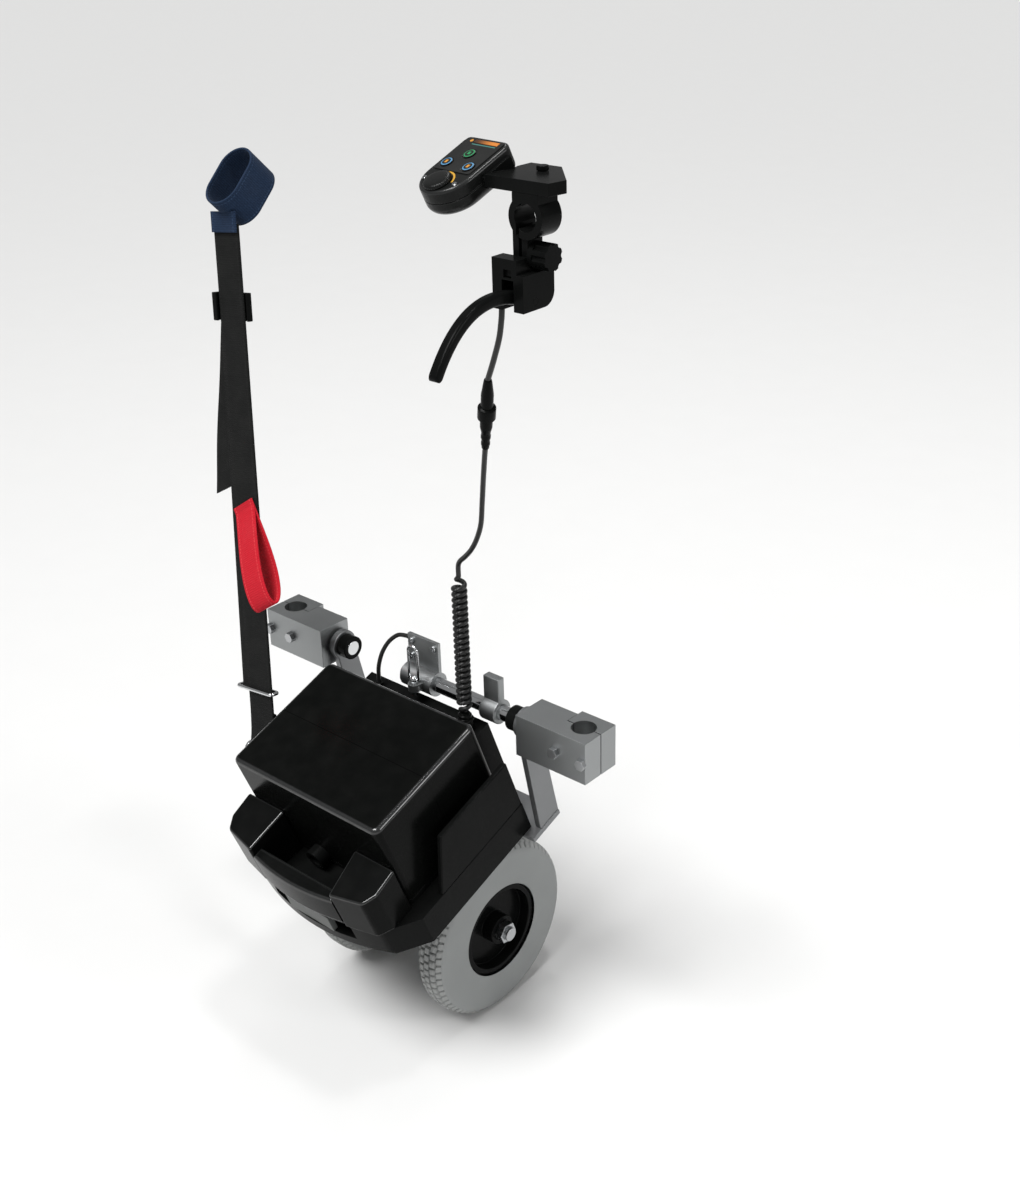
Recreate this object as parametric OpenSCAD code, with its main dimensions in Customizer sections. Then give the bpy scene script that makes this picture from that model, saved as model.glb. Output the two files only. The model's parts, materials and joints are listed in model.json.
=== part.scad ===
// Push-from-behind power assist for a manual wheelchair.
// X points to the right, Y to the front and Z up. The origin is the middle of the bar that the
// drive unit hangs on. The unit's own pieces are drawn in its tilted frame (X, U forward, V up).

/* [Hanging] */
// Tilt of the drive unit, nose up
unit_tilt = 20.4; // [15:0.1:25]
// Radius of the bar that the unit hangs on
bar_r = 8; // [6:0.5:10]
// Half the distance between the chair's upright tubes
post_x = 205; // [195:1:230]
// Radius of the chair's upright tubes
post_r = 12.5; // [11:0.5:14]
// Height of a frame clamp
clamp_h = 45; // [40:1:60]
// Depth of a frame clamp block behind the tube's middle
clamp_d = 24; // [22:1:32]
// Thickness of a clamp cap in front of the tube
cap_t = 10; // [8:0.5:14]
// Distance from the tube's middle to the clamp's inner face
clamp_reach = 66; // [60:1:70]
// Thickness of a hanger arm
arm_t = 8; // [6:0.5:10]
// Distance of the hanger arms from the middle
arm_x = 128; // [127:0.5:130]
// Radius of a hanger arm's eye
arm_eye_r = 16; // [14:0.5:17]
// Length of a collar on the bar
collar_len = 13; // [8:0.5:18]
// Radius of a collar on the bar
collar_r = 13; // [11:0.5:15]

/* [Battery pack] */
// Width of the battery case
case_w = 208; // [190:1:214]
// Depth of the battery case
case_d = 150; // [140:1:170]
// Height of the battery case above its ledge
case_h = 115; // [100:1:125]
// Wall of the battery case
case_wall = 3; // [2:0.25:4]
// Rounding of the battery case's edges
case_round = 5; // [4.5:0.5:8]
// Distance of the case's front face behind the bar
case_back = 39; // [38:0.5:44]
// Thickness of the pack's base
base_t = 6; // [4:0.5:8]
// Height of the lip that centres the cover on the base
lip_h = 8; // [5:0.5:12]
// Thickness of that lip
lip_t = 2; // [1.5:0.25:3]
// Free height above the battery blocks
head_room = 12; // [10:0.5:20]
// Length of the rear part that holds the carry handle
handle_d = 57; // [50:0.5:60]
// Height of the handle blocks where they meet the case
handle_h = 60; // [50:0.5:64]
// How far the handle blocks drop towards the rear
handle_drop = 10; // [4:0.5:14]
// Width of the hand recess at the case
recess_w = 104; // [95:1:112]
// How much wider the recess is on each side at its rear
recess_flare = 6; // [2:0.5:8]
// Thickness of the handle bar
grip_t = 13; // [10:0.5:16]
// Height of the handle bar
grip_h = 37; // [25:0.5:40]
// Radius of the charge socket
charge_r = 11.5; // [8:0.5:13]
// Length of the charge socket
charge_len = 13; // [8:0.5:18]

/* [Tray] */
// Height of the base tray
tray_h = 38; // [34:1:50]
// Wall of the base tray
tray_wall = 3.5; // [2.5:0.25:4.5]
// How much wider the tray is than the case on each side
tray_side = 20; // [16:0.5:24]
// Thickness of a side pod's wall
pod_t = 6; // [4:0.5:10]
// Height of the side pods above the tray
pod_h = 63; // [50:1:75]
// Width of the push latch
latch_w = 64; // [50:1:76]
// Height of the push latch
latch_h = 23; // [18:0.5:26]
// Travel of the push latch
latch_travel = 4; // [2:0.25:5]
// Thickness of the chassis plate
plate_t = 6; // [4:0.5:8]
// Depth of the controller box
box_d = 25; // [22:0.5:25]
// Wall of the controller box
box_wall = 2.5; // [2:0.25:3.5]

/* [Drive] */
// Radius of the drive wheels
wheel_r = 100; // [90:1:110]
// Width of a tyre
tyre_w = 34; // [28:0.5:36]
// Distance from the middle to the middle of a tyre
wheel_x = 81; // [80:0.5:86]
// Radius of a hub's rim
hub_r = 52; // [48:0.5:58]
// Radius of the axle
axle_r = 7.5; // [6:0.25:9]
// Gap between a wheel and the chassis plate
wheel_clear = 12; // [8:0.5:20]
// Distance of the axle behind the bar
axle_back = 102; // [98:0.5:110]
// Tooth size of the gears
gear_m = 1.5; // [1.4:0.05:1.6]
// Teeth on the axle gear
gear_teeth = 60; // [56:4:64]
// Teeth on the motor's pinion
pinion_teeth = 14; // [12:1:16]
// Width of the gears
gear_w = 14; // [10:0.5:16]
// Radius of the motor
motor_r = 36; // [32:0.5:40]
// Length of the motor
motor_len = 36; // [30:0.5:37]

/* [Controls] */
// Distance of the push handle's tube from the middle
handle_x = 216; // [206:1:230]
// Radius of the push handle's tube
handle_r = 11; // [10:0.25:12.5]
// Width of the clamp on the push handle
ring_w = 24; // [20:0.5:28]
// Wall of the clamp on the push handle
ring_wall = 6; // [5:0.25:7]
// Width of the handset
pad_w = 52; // [46:0.5:60]
// Length of the handset's flat face
pad_face = 45; // [42:0.5:60]
// Thickness of the handset
pad_t = 24; // [22:0.5:32]
// Tilt of the handset's face towards the user
pad_tilt = 25; // [15:0.5:30]
// Turn of the handset towards the right
pad_turn = 7; // [0:0.5:10]
// Wall of the handset's shells
pad_wall = 2.2; // [1.6:0.1:3]
// Radius of the speed dial
dial_r = 12; // [9:0.5:13]
// Radius of a handset button
button_r = 5.5; // [4:0.25:6]
// Travel of a handset button
button_travel = 0.8; // [0.4:0.1:1.2]
// Width of the throttle housing
box_w = 32; // [28:0.5:38]
// Thickness of the throttle lever
lever_t = 10; // [8:0.5:12]
// Thickness of the control arm's plate
plate_arm_t = 10; // [8:0.5:12]

/* [Cable] */
// Diameter of the thin cable
cord_d = 5; // [4:0.1:5.4]
// Number of curls in the curly cable
curls = 20; // [10:1:22]
// Radius of a curl at the cable's middle
curl_r = 5.6; // [5:0.1:7]
// Height of one curl
curl_pitch = 6.3; // [6:0.1:7]

/* [Strap] */
// Width of the webbing
web_w = 38; // [30:0.5:40]
// Thickness of the webbing
web_t = 2.5; // [2:0.1:3]
// Width of the red pull loop
pull_w = 34; // [22:0.5:36]
// Half the opening of the red pull loop
pull_bow = 14; // [10:0.5:18]

/* [Hidden] */
$fn = 64;
// Gap between pieces that are fixed together
fit_gap = 0.05;
// Gap between pieces that move past each other
run_gap = 0.3;
// Radial gap of a shaft in its bore
shaft_gap = 0.05;
// Overlap used so that cuts pass right through
cut = 1;

// Battery pack and tray, in the unit's frame
case_u1 = -case_back;
case_u0 = case_u1 - case_d;
case_mid_u = (case_u0 + case_u1)/2;
ledge_v = -92;
cover_v0 = ledge_v + run_gap + base_t + fit_gap;
case_v1 = ledge_v + case_h;
handle_u0 = case_u0 - handle_d;
block_half = case_w/2 + 2;
handle_v0 = ledge_v + run_gap;
block_chamfer = 8;
grip_v0 = handle_v0 + 4;
cell_gap = 1;
case_corner = case_round + case_wall;
lip_w = case_w - 2*case_wall - 2*fit_gap;
lip_d = case_d - 2*case_wall - 2*fit_gap;
lip_corner = case_corner - case_wall - fit_gap;
cell_side = 0.3*(lip_corner - lip_t) + run_gap;
cell_w = (lip_w - 2*lip_t - 2*cell_side - cell_gap)/2;
cell_d = lip_d - 2*lip_t - 2*cell_side;
cell_v0 = ledge_v + run_gap + base_t;
cell_v1 = case_v1 - case_wall - head_room;
terminal_h = 5;
terminal_r = 5;
terminal_u = case_u1 - 32;
link_t = 2;
link_w = 14;
charge_x = -16;
charge_v = handle_v0 + charge_r + 3;

// Base tray, its latch and its pods
tray_front = case_u1 + 4;
tray_half = case_w/2 + run_gap + tray_side;
tray_v0 = ledge_v - tray_h;
handle_over = 4;
tray_rear = handle_u0 + handle_over;
tray_belly = 18;
belly_margin = 25;
tray_belly_x = tray_half - belly_margin;
tray_corner = 30;
tray_deck = 4;
window_w = 120;
window_d = 60;
pod_x0 = tray_half - pod_t;
pod_foot_u = case_u0 + 25;
pod_lean = 26;
latch_t = 6;
latch_inset = 1;
latch_v1 = ledge_v - 3;
latch_v0 = latch_v1 - latch_h;
latch_spring = 4;
latch_back = latch_inset + latch_t + latch_travel + latch_spring;
stem_r = 5;
stem_len = 12;
spring_wall = 1.6;
slot_side = 27;
plate_v0 = tray_v0 - plate_t;
plate_inset = 6;

// Controller box in front of the pack
box_half = 84;
box_u0 = tray_front + 0.5;
box_u1 = box_u0 + box_d;
box_v0 = tray_v0 + fit_gap;
box_v1 = -14;
board_t = 1.6;
board_rib = 6;
boss_foot = 14;
lead_boss_r = 4.5;
lead_boss_h = 5;
// Height of the box's top at a distance Y, upright
function box_top(y) = y*tan(unit_tilt) + box_v1/cos(unit_tilt);

// Drive, in the unit's frame
axle_u = -axle_back;
axle_v = plate_v0 - wheel_clear - wheel_r;
gear_r = gear_m*gear_teeth/2;
pinion_r = gear_m*pinion_teeth/2;
tooth_tip = 0.8*gear_m;
tooth_root = 1.2*gear_m;
tooth_room = 3;
motor_u = axle_u + gear_r + pinion_r;
bearing_w = 9;
bearing_wall = 8;
bearing_r = axle_r + bearing_wall;
boss_r = bearing_r + 5;
gearbox_wall = 4;
gear_side = 2;
gearbox_half = gear_w/2 + gear_side + bearing_w + gearbox_wall;
gearbox_r = gear_r + tooth_tip + tooth_room + gearbox_wall;
gearbox_neck = gearbox_r - 6;
pinion_room = pinion_r + tooth_tip + tooth_room;
gearbox_nose = pinion_room + gearbox_wall + 8;
column_half = 30;
shaft_r = 5;
shaft_end = gearbox_half - gearbox_wall + 2;
motor_x1 = -gearbox_half - fit_gap;
motor_x0 = motor_x1 - motor_len;
motor_wall = 4;
armature_room = 3;
shoulder = 0.35*tyre_w;
bead_r = hub_r + 8;
hub_half = tyre_w/2 - 2;
hub_rim = 6;
hub_web = 5;
hub_boss_r = axle_r + 9;
nut_t = 9;
nut_r = axle_r + 4.5;
nut_x0 = wheel_x + tyre_w/2 + fit_gap;
axle_half = nut_x0 + nut_t + 4;

// Hanging parts
clamp_inner = max(post_x - clamp_reach, arm_x + arm_t + 2);
clamp_side = post_r + 8;
clamp_split = 1;
clamp_front = 16;
clamp_bolt_r = 3;
clamp_bolt_x = post_r + 4.2;
bolt_head_r = 6;
bolt_head_t = 5;
bar_depth = 22;
bar_left = -36;
collar_x1 = arm_x - run_gap;
stub_end = collar_x1 - collar_len;
arm_width = 13;
arm_foot = 30;
flange_u1 = -3;
flange_half = arm_x + arm_t + 1;
bracket_x0 = -31;
bracket_x1 = 12;
bracket_r = bar_r + 5;
bracket_t = 4;
bracket_y = 2;
bracket_h = 46;
pin_x = -5;
pin_r = 3;
pin_y = -bracket_r - pin_r - 1.5;
ear_half = 7;
ear_z1 = 4;
ear_t = 8;
pin_tail = 6;
ball_r = 4.5;
ball_rise = 0.8*ball_r;
bail_r = 1.4;
bail_h = 38;
bail_half = 6.5;
release_x0 = 80;
release_x1 = 100;
release_h = 38;
release_t = 9;

// Control set
ring_y = -70;
ring_z = 521;
ring_r = handle_r + ring_wall;
ring_slot = 3;
lug_x = handle_x - 8;
lug_t = 6;
lug_half = 9;
lug_side = lug_x + ring_slot/2 + lug_t;
knob_r = 11;
knob_len = 18;
knob_flute = 3;
knob_room = 2.5;
screw_r = 3;
screw_z = ring_z - ring_r - knob_r - knob_room;
lug_z0 = screw_z - knob_r - 1;
saddle_half = 13;
saddle_z = ring_z + ring_r + 1.5;
arm_z0 = saddle_z + fit_gap;
arm_z1 = arm_z0 + plate_arm_t;
pad_off = 68;
pad_rise = 18.45;
pad_x = handle_x - pad_off;
pad_y = ring_y;
pad_z = arm_z0 + pad_rise;
pad_front = pad_face/2 + 3;
pad_back = -pad_face/2;
pad_round = 8;
pad_split = 11;
arm_left = pad_x + pad_w/2 + fit_gap;
arm_lug = 3.5;
arm_rear = ring_y - ring_w/2;
arm_deep = 44;
arm_front = ring_y + arm_deep;
arm_reach = 27;
arm_nose_y = 6;
arm_nose = [handle_x + arm_reach, ring_y + arm_nose_y];
arm_knob_r = 5;
arm_knob_h = 4;
arm_knob_off = [-12, 24];
arm_knob_at = [handle_x, ring_y] + arm_knob_off;
arm_screw_r = 2.5;
key_w = pad_w - 8;
key_front = pad_front - 3;
key_back = pad_back + 2;
lug_back = pad_back + 9;
key_t = 0.8;
button_top = button_travel + 1;
button_foot = 5;
power_at = [-0.6, pad_back + 25];
left_at = [-13.7, pad_back + 11];
right_at = [13.4, pad_back + 10];
lens_at = [3.5, pad_front - 7];
lens_size = [28, 4];
dial_at = [0, pad_back - 12.5];
dial_h = 4;
dial_stem_r = 4;
dial_stem = 4;
board_n = -9;
pillar_r = 2.5;
throttle_off = 10;
throttle_x = handle_x - throttle_off;
throttle_back = 23;
throttle_fore = 15;
throttle_y0 = ring_y - throttle_back;
throttle_y1 = ring_y + throttle_fore;
throttle_h = 29.5;
throttle_z0 = lug_z0 - throttle_h;
throttle_z1 = lug_z0 - fit_gap;
throttle_wall = 2.5;
throttle_round = 12;
collar_rise = 11.5;
hole_w = 8;
hole_h = 6.5;
lever_back = 8;
lever_drop = 22.5;
lever_at = [ring_y - lever_back, lug_z0 - lever_drop];
lever_root = 6;
lever_end = 4.5;
lever_bend_by = [-62, 22];
lever_tip_by = [-99, -38];
lever_bend = lever_at + lever_bend_by;
lever_tip = lever_at + lever_tip_by;
lever_steps = 12;
lever_pin_r = 3;
lever_side_gap = 1;
slot_up = 17.5;
slot_fore = 9;

// Cable: the plug stands upright on the controller box at this place
plug_x = 69;
plug_u = -28;
plug_r = 7;
plug_end_r = 4;
plug_y = plug_u*cos(unit_tilt) - box_v1*sin(unit_tilt);
plug_lift = 7;
plug_neck = 14;
plug_len = 24;
plug_z0 = box_top(plug_y) + plug_lift;
plug_waist = plug_z0 + plug_neck;
plug_top = plug_z0 + plug_len;
socket_wall = 2;
socket_h = 8;
coil_z0 = plug_top + cord_d;
coil_z1 = coil_z0 + (curls + 2)*curl_pitch;
coil_end = [plug_x, plug_y, coil_z1 + cord_d];
cord_sides = 8;
curl_rings = 8;
curl_sides = 6;
// Gap between a cable's end and what it goes into
cord_gap = 0.8;
// Ends of the in-line connector
connector_a = [170, -80, 382];
connector_b = [144, -58, 310];
connector_dir = (connector_a - connector_b)/norm(connector_a - connector_b);
// Route of the thin cable from the throttle housing to the connector
upper_route = [[195, -88, throttle_z0 - cord_gap], [194, -88, 438], [190, -87, 422], [180, -84, 400],
    connector_a + cord_gap*connector_dir];
connector_r = 5.5;
connector_collar_r = 8;
// Route of the thin cable from the connector to the curly cable
lower_route = [connector_b - cord_gap*connector_dir,
    [140, -55, 300], [130, -47, 274], [119, -38, 244], [110, -31, 219],
    coil_end + [32, -6, 44], coil_end + [23, -4, 30], coil_end + [13, -2, 19],
    coil_end + [4, -1, 10.5], coil_end + [0.5, 0, 5], coil_end + [0, 0, cord_gap]];
// Route of the short lead from the latch bracket to the controller box
lead_d = 4.6;
lead_x = -59;
lead_y = -17;
lead_z0 = box_top(lead_y) + 2;
lead_route = [[bracket_x0 - cord_gap, bracket_y + bracket_t/2, 40],
    [bracket_x0 - 5, bracket_y + bracket_t/2, 40],
    [-46, 2, 38], [-54, -4, 30], [-58, -11, 18], [lead_x, -16, 4], [lead_x, lead_y, -8],
    [lead_x, lead_y, lead_z0]];

// Strap: a straight line from the blue loop to its post on the unit
strap_top = [-216, -29, 452];
post_peg_r = 4;
post_flange = 3;
post_peg_len = web_w + 8;
post_fore = 30;
post_rise = 40.5;
post_u = pod_foot_u + post_fore;
post_v = ledge_v + post_rise;
strap_foot = [-tray_half - post_flange - web_w/2 - 0.7, post_u*cos(unit_tilt) - post_v*sin(unit_tilt),
    post_u*sin(unit_tilt) + post_v*cos(unit_tilt)];
strap_len = norm(strap_foot - strap_top);
strap_dir = (strap_top - strap_foot)/strap_len;
strap_lean_x = atan2(strap_dir[0], strap_dir[2]);
strap_lean_y = -asin(strap_dir[1]);
web_gap = 0.3;
strap_end = strap_len - post_peg_r - web_w/2*abs(strap_dir[0]) - 2*web_gap;
fold_top = 3;
fold_low = 13;
strap_start = 2;
loop_mid = [-216, -8, 482];
loop_half_x = 19;
loop_half_y = 30;
loop_lean = -135;
loop_tab = 10;
loop_tab_top = -10;
slider_s = 68;
slider_h = 28;
slider_wall = 3;
ring_s = 482;
ring_h = 4;
ring_wall_s = 4;
pull_s0 = 286;
pull_len = 104;
pull_tab = 6;
pull_turn = 27;
pull_steps = 40;
tail_s = slider_s + slider_h + 7;
tail_len = 190;
tail_shift = 8;
tail_hang = 3;
tail_swing = 14;
tail_cut = 28;

// Shared shapes

// Children drawn in the drive unit's tilted frame
module unit() { rotate([unit_tilt, 0, 0]) children(); }

// Children and their mirror image on the left
module both_sides() {
    children();
    mirror([1, 0, 0]) children();
}

// A round bar along X
module round_bar(r, x0, x1) { translate([x0, 0, 0]) rotate([0, 90, 0]) cylinder(r = r, h = x1 - x0); }

// A side outline, drawn as (Y, Z), carried along X
module side_plate(x0, x1) {
    translate([x0, 0, 0]) rotate([90, 0, 90]) linear_extrude(x1 - x0) children();
}

// A box from its two corners
module block(low, high) { translate(low) cube(high - low); }

// A rectangle with round corners
module round_rect(w, d, r) {
    square([w - 2*r, d], center = true);
    square([w, d - 2*r], center = true);
    for (x = [-1, 1], y = [-1, 1]) translate([x*(w/2 - r), y*(d/2 - r)]) circle(r);
}

// A gear outline: trapezoid teeth, with a gap or a tooth at angle 0
module gear_outline(teeth, r, turn) {
    step = 360/teeth;
    polygon([for (k = [0:teeth - 1], e = [[-0.31, -1], [-0.13, 1], [0.13, 1], [0.31, -1]])
        let (a = turn + step*(k + e[0]), q = e[1] > 0 ? r + tooth_tip : r - tooth_root)
        [q*cos(a), q*sin(a)]]);
}

// Points between two knots of a smooth route
function between(p, i, t) =
    let (a = p[max(i - 1, 0)], b = p[i], c = p[i + 1], d = p[min(i + 2, len(p) - 1)])
    0.5*(2*b + (c - a)*t + (2*a - 5*b + 4*c - d)*t*t + (3*b - a - 3*c + d)*t*t*t);
function smooth(p, n) = concat([for (i = [0:len(p) - 2], k = [0:n - 1]) between(p, i, k/n)],
    [p[len(p) - 1]]);

// Direction of a route, and a side vector carried along it
function heading(p, i) =
    let (d = p[min(i + 1, len(p) - 1)] - p[max(i - 1, 0)]) d/norm(d);
function level(n, t) = let (m = n - (n*t)*t) m/norm(m);
function carried(p, first) =
    [for (i = 0, n = level(first, heading(p, 0)); i < len(p);
        n = i + 1 < len(p) ? level(n, heading(p, i + 1)) : n, i = i + 1) n];

// A tube of triangles along a route
module tube(p, r, sides, first) {
    side = carried(p, first);
    last = (len(p) - 1)*sides;
    points = [for (i = [0:len(p) - 1], j = [0:sides - 1])
        let (t = heading(p, i), a = 360*j/sides)
        p[i] + r*(cos(a)*side[i] + sin(a)*cross(t, side[i]))];
    walls = [for (i = [0:len(p) - 2], j = [0:sides - 1], half = [0, 1])
        let (a = i*sides + j, b = i*sides + (j + 1) % sides)
        half == 0 ? [a, a + sides, b + sides] : [a, b + sides, b]];
    caps = [for (j = [1:sides - 2], end = [0, 1])
        end == 0 ? [0, j, j + 1] : [last, last + j + 1, last + j]];
    polyhedron(points, concat(walls, caps));
}

// Children drawn along the strap: X across it, Y to its front, Z up it from its top end
module on_strap() { translate(strap_top) rotate([strap_lean_y, strap_lean_x, 0]) children(); }

// A flat run of webbing between two places on the strap, s measured down from the top
module web(s0, s1, y0, shift = 0) {
    block([shift - web_w/2, y0, -s1], [shift + web_w/2, y0 + web_t, -s0]);
}

// Hanging parts

// Bar for the unit, and its stub in the left clamp
module crossbar() color("silver") {
    round_bar(bar_r, bar_left, clamp_inner + bar_depth);
    round_bar(bar_r, -clamp_inner - bar_depth, -stub_end);
}

module bar_collars() color("#202022") both_sides() difference() {
    round_bar(collar_r, stub_end + fit_gap, collar_x1);
    round_bar(bar_r + fit_gap, stub_end - cut, collar_x1 + cut);
}

module frame_clamp() difference() {
    union() {
        block([clamp_inner, -clamp_d, -clamp_h/2], [post_x - clamp_side, clamp_front, clamp_h/2]);
        block([post_x - clamp_side - cut, -clamp_d, -clamp_h/2],
            [post_x + clamp_side, -clamp_split/2, clamp_h/2]);
    }
    translate([post_x, 0, -clamp_h/2 - cut]) cylinder(r = post_r, h = clamp_h + 2*cut);
    round_bar(bar_r + fit_gap, clamp_inner - cut, clamp_inner + bar_depth + fit_gap);
    clamp_bolt_places() rotate([90, 0, 0])
        cylinder(r = clamp_bolt_r + fit_gap, h = clamp_d + cap_t + post_r + 2*cut, center = true);
}

// The two bolt places of the right clamp
module clamp_bolt_places() {
    for (x = [-1, 1]) translate([post_x + x*clamp_bolt_x, 0, 0]) children();
}

module frame_clamp_left() color("#b9bcbe") mirror([1, 0, 0]) frame_clamp();
module frame_clamp_right() color("#b9bcbe") frame_clamp();

module clamp_caps() color("#b9bcbe") both_sides() difference() {
    block([post_x - clamp_side + run_gap, clamp_split/2, -clamp_h/2],
        [post_x + clamp_side, post_r + cap_t, clamp_h/2]);
    translate([post_x, 0, -clamp_h/2 - cut]) cylinder(r = post_r, h = clamp_h + 2*cut);
    clamp_bolt_places() rotate([-90, 0, 0])
        cylinder(r = clamp_bolt_r + fit_gap, h = post_r + cap_t + cut);
}

module clamp_bolts() color("#cfd2d4") both_sides() clamp_bolt_places() {
    translate([0, post_r + cap_t, 0]) rotate([90, 0, 0])
        cylinder(r = clamp_bolt_r, h = clamp_d + post_r + cap_t);
    translate([0, -clamp_d - fit_gap, 0]) rotate([90, 0, 0])
        cylinder(r = bolt_head_r, h = bolt_head_t, $fn = 6);
    translate([0, -clamp_d, 0]) rotate([90, 0, 0]) cylinder(r = clamp_bolt_r, h = bolt_head_t);
}

module latch_bracket() color("#c4c6c8") difference() {
    union() {
        round_bar(bracket_r, bracket_x0, bracket_x1);
        block([bracket_x0, bracket_y, 0], [bracket_x1, bracket_y + bracket_t, bracket_h]);
        block([pin_x - ear_half, pin_y, ear_z1 - ear_t], [pin_x + ear_half, 0, ear_z1]);
        translate([pin_x, pin_y, ear_z1 - ear_t]) cylinder(r = ear_half, h = ear_t);
    }
    round_bar(bar_r + shaft_gap, bracket_x0 - cut, bracket_x1 + cut);
    translate([pin_x, pin_y, ear_z1 - ear_t - cut])
        cylinder(r = pin_r + shaft_gap, h = ear_t + 2*cut);
}

module quick_pin() color("#d5d7d8") translate([pin_x, pin_y, ear_z1 + run_gap]) {
    translate([0, 0, -ear_t - pin_tail]) cylinder(r = pin_r, h = ear_t + pin_tail + ball_r);
    translate([0, 0, ball_rise]) difference() {
        sphere(ball_r);
        translate([0, 0, -2*ball_r - ball_rise]) cylinder(r = 2*ball_r, h = 2*ball_r);
    }
    for (x = [-1, 1]) translate([x*bail_half, 0, ball_r]) cylinder(r = bail_r, h = bail_h - bail_half);
    translate([0, 0, ball_r]) round_bar(bail_r, -bail_half - bail_r, bail_half + bail_r);
    translate([0, 0, ball_r + bail_h - bail_half]) rotate([90, 0, 0])
        rotate_extrude(angle = 180) translate([bail_half, 0]) circle(bail_r);
}

module release_lever() color("#a9acae") difference() {
    union() {
        round_bar(collar_r, release_x0, release_x1);
        block([release_x0, -release_t/2, 0], [release_x1, release_t/2, release_h]);
    }
    round_bar(bar_r + shaft_gap, release_x0 - cut, release_x1 + cut);
}

module short_lead() color("#151516") tube(smooth(lead_route, 2), lead_d/2, cord_sides, [0, 1, 0]);

// Drive unit

// Outline of the tray in plan, drawn in by an inset
module tray_outline(inset) {
    half = tray_half - inset;
    belly = tray_belly_x - inset;
    rear = tray_rear + inset;
    right = [for (x = [0:belly/10:belly + 0.01]) [x, rear + tray_belly*pow(x/belly, 2)]];
    corner = rear + tray_belly + tray_corner;
    left = [for (i = [len(right) - 1:-1:1]) [-right[i][0], right[i][1]]];
    polygon(concat(left, right, [[half, corner], [half, tray_front - inset],
        [-half, tray_front - inset], [-half, corner]]));
}

module base_tray() color("#18191a") unit() difference() {
    translate([0, 0, tray_v0]) linear_extrude(tray_h) tray_outline(0);
    difference() {
        translate([0, 0, tray_v0 + tray_wall]) linear_extrude(tray_h - tray_wall - tray_deck)
            tray_outline(tray_wall);
        block([-latch_w/2 - slot_side - tray_wall, tray_rear, tray_v0],
            [latch_w/2 + slot_side + tray_wall, tray_rear + latch_back + tray_wall, ledge_v]);
    }
    translate([-window_w/2, case_mid_u - window_d/2, ledge_v - tray_deck - cut])
        cube([window_w, window_d, tray_deck + 2*cut]);
    block([-latch_w/2 - slot_side, tray_rear - cut, latch_v0 - run_gap],
        [latch_w/2 + slot_side, tray_rear + latch_back, latch_v1 + run_gap]);
    translate([0, tray_rear, (latch_v0 + latch_v1)/2]) rotate([-90, 0, 0])
        cylinder(r = stem_r + shaft_gap, h = latch_back + tray_wall + cut);
}

module side_pods() color("#1a1b1c") unit() both_sides() side_plate(pod_x0, tray_half)
    polygon([[pod_foot_u, ledge_v], [pod_foot_u + pod_lean, ledge_v + pod_h],
        [tray_front, ledge_v + pod_h], [tray_front, ledge_v]]);

module chassis_plate() color("#a7aaac") unit() translate([0, 0, plate_v0]) linear_extrude(plate_t) {
    tray_outline(plate_inset);
    translate([-flange_half, tray_front - 2*plate_inset])
        square([2*flange_half, flange_u1 - tray_front + 2*plate_inset]);
}

module hanger_arms() color("#b4b7b9") unit() both_sides() side_plate(arm_x, arm_x + arm_t)
    difference() {
        union() {
            circle(arm_eye_r);
            polygon([[-arm_width, 0], [arm_width, 0], [flange_u1, tray_v0],
                [flange_u1 - arm_foot, tray_v0]]);
        }
        circle(bar_r + shaft_gap);
    }

module controller_box() color("#1c1d1e") unit() difference() {
    union() {
        block([-box_half, box_u0, box_v0], [box_half, box_u1, box_v1]);
        intersection() {
            upright() {
                translate([plug_x, plug_y, plug_z0 - boss_foot])
                    cylinder(r = plug_r + socket_wall, h = boss_foot + socket_h);
                translate([lead_x, lead_y, lead_z0 - boss_foot])
                    cylinder(r = lead_boss_r, h = boss_foot + lead_boss_h);
            }
            block([-box_half, box_u0, box_v1 - box_wall], [box_half, box_u1, box_v1 + boss_foot]);
        }
    }
    block([-box_half + box_wall, box_u0 + box_wall, box_v0 - cut],
        [box_half - box_wall, box_u1 - box_wall, box_v1 - box_wall]);
    upright() {
        translate([plug_x, plug_y, plug_z0]) cylinder(r = plug_r + fit_gap, h = socket_h + cut);
        translate([lead_x, lead_y, lead_z0 - fit_gap])
            cylinder(r = lead_d/2 + fit_gap, h = lead_boss_h + cut);
    }
}

// Upright shapes placed in the unit's frame
module upright() { rotate([-unit_tilt, 0, 0]) children(); }

module controller_board() color("#1f5a34") unit() {
    v0 = box_v0 + board_rib;
    v1 = box_v1 - box_wall - 3*board_rib;
    u0 = box_u0 + box_wall;
    u1 = u0 + board_rib;
    half = box_half - box_wall - board_rib/2;
    for (x = [-half, half - board_rib]) block([x, u0, v0], [x + board_rib, u1, v1]);
    block([-half, u1, v0], [half, u1 + board_t, v1]);
}

// Side outline of the gearbox: both gears and the column up to the chassis plate
module gearbox_outline() {
    translate([axle_u, axle_v]) circle(gearbox_r);
    translate([motor_u, axle_v]) circle(gearbox_nose);
    translate([axle_u - column_half, axle_v]) square([2*column_half, plate_v0 - axle_v]);
    polygon([[axle_u, axle_v - gearbox_neck], [motor_u, axle_v - gearbox_nose],
        [motor_u, axle_v + gearbox_nose], [axle_u, axle_v + gearbox_neck]]);
}

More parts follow.
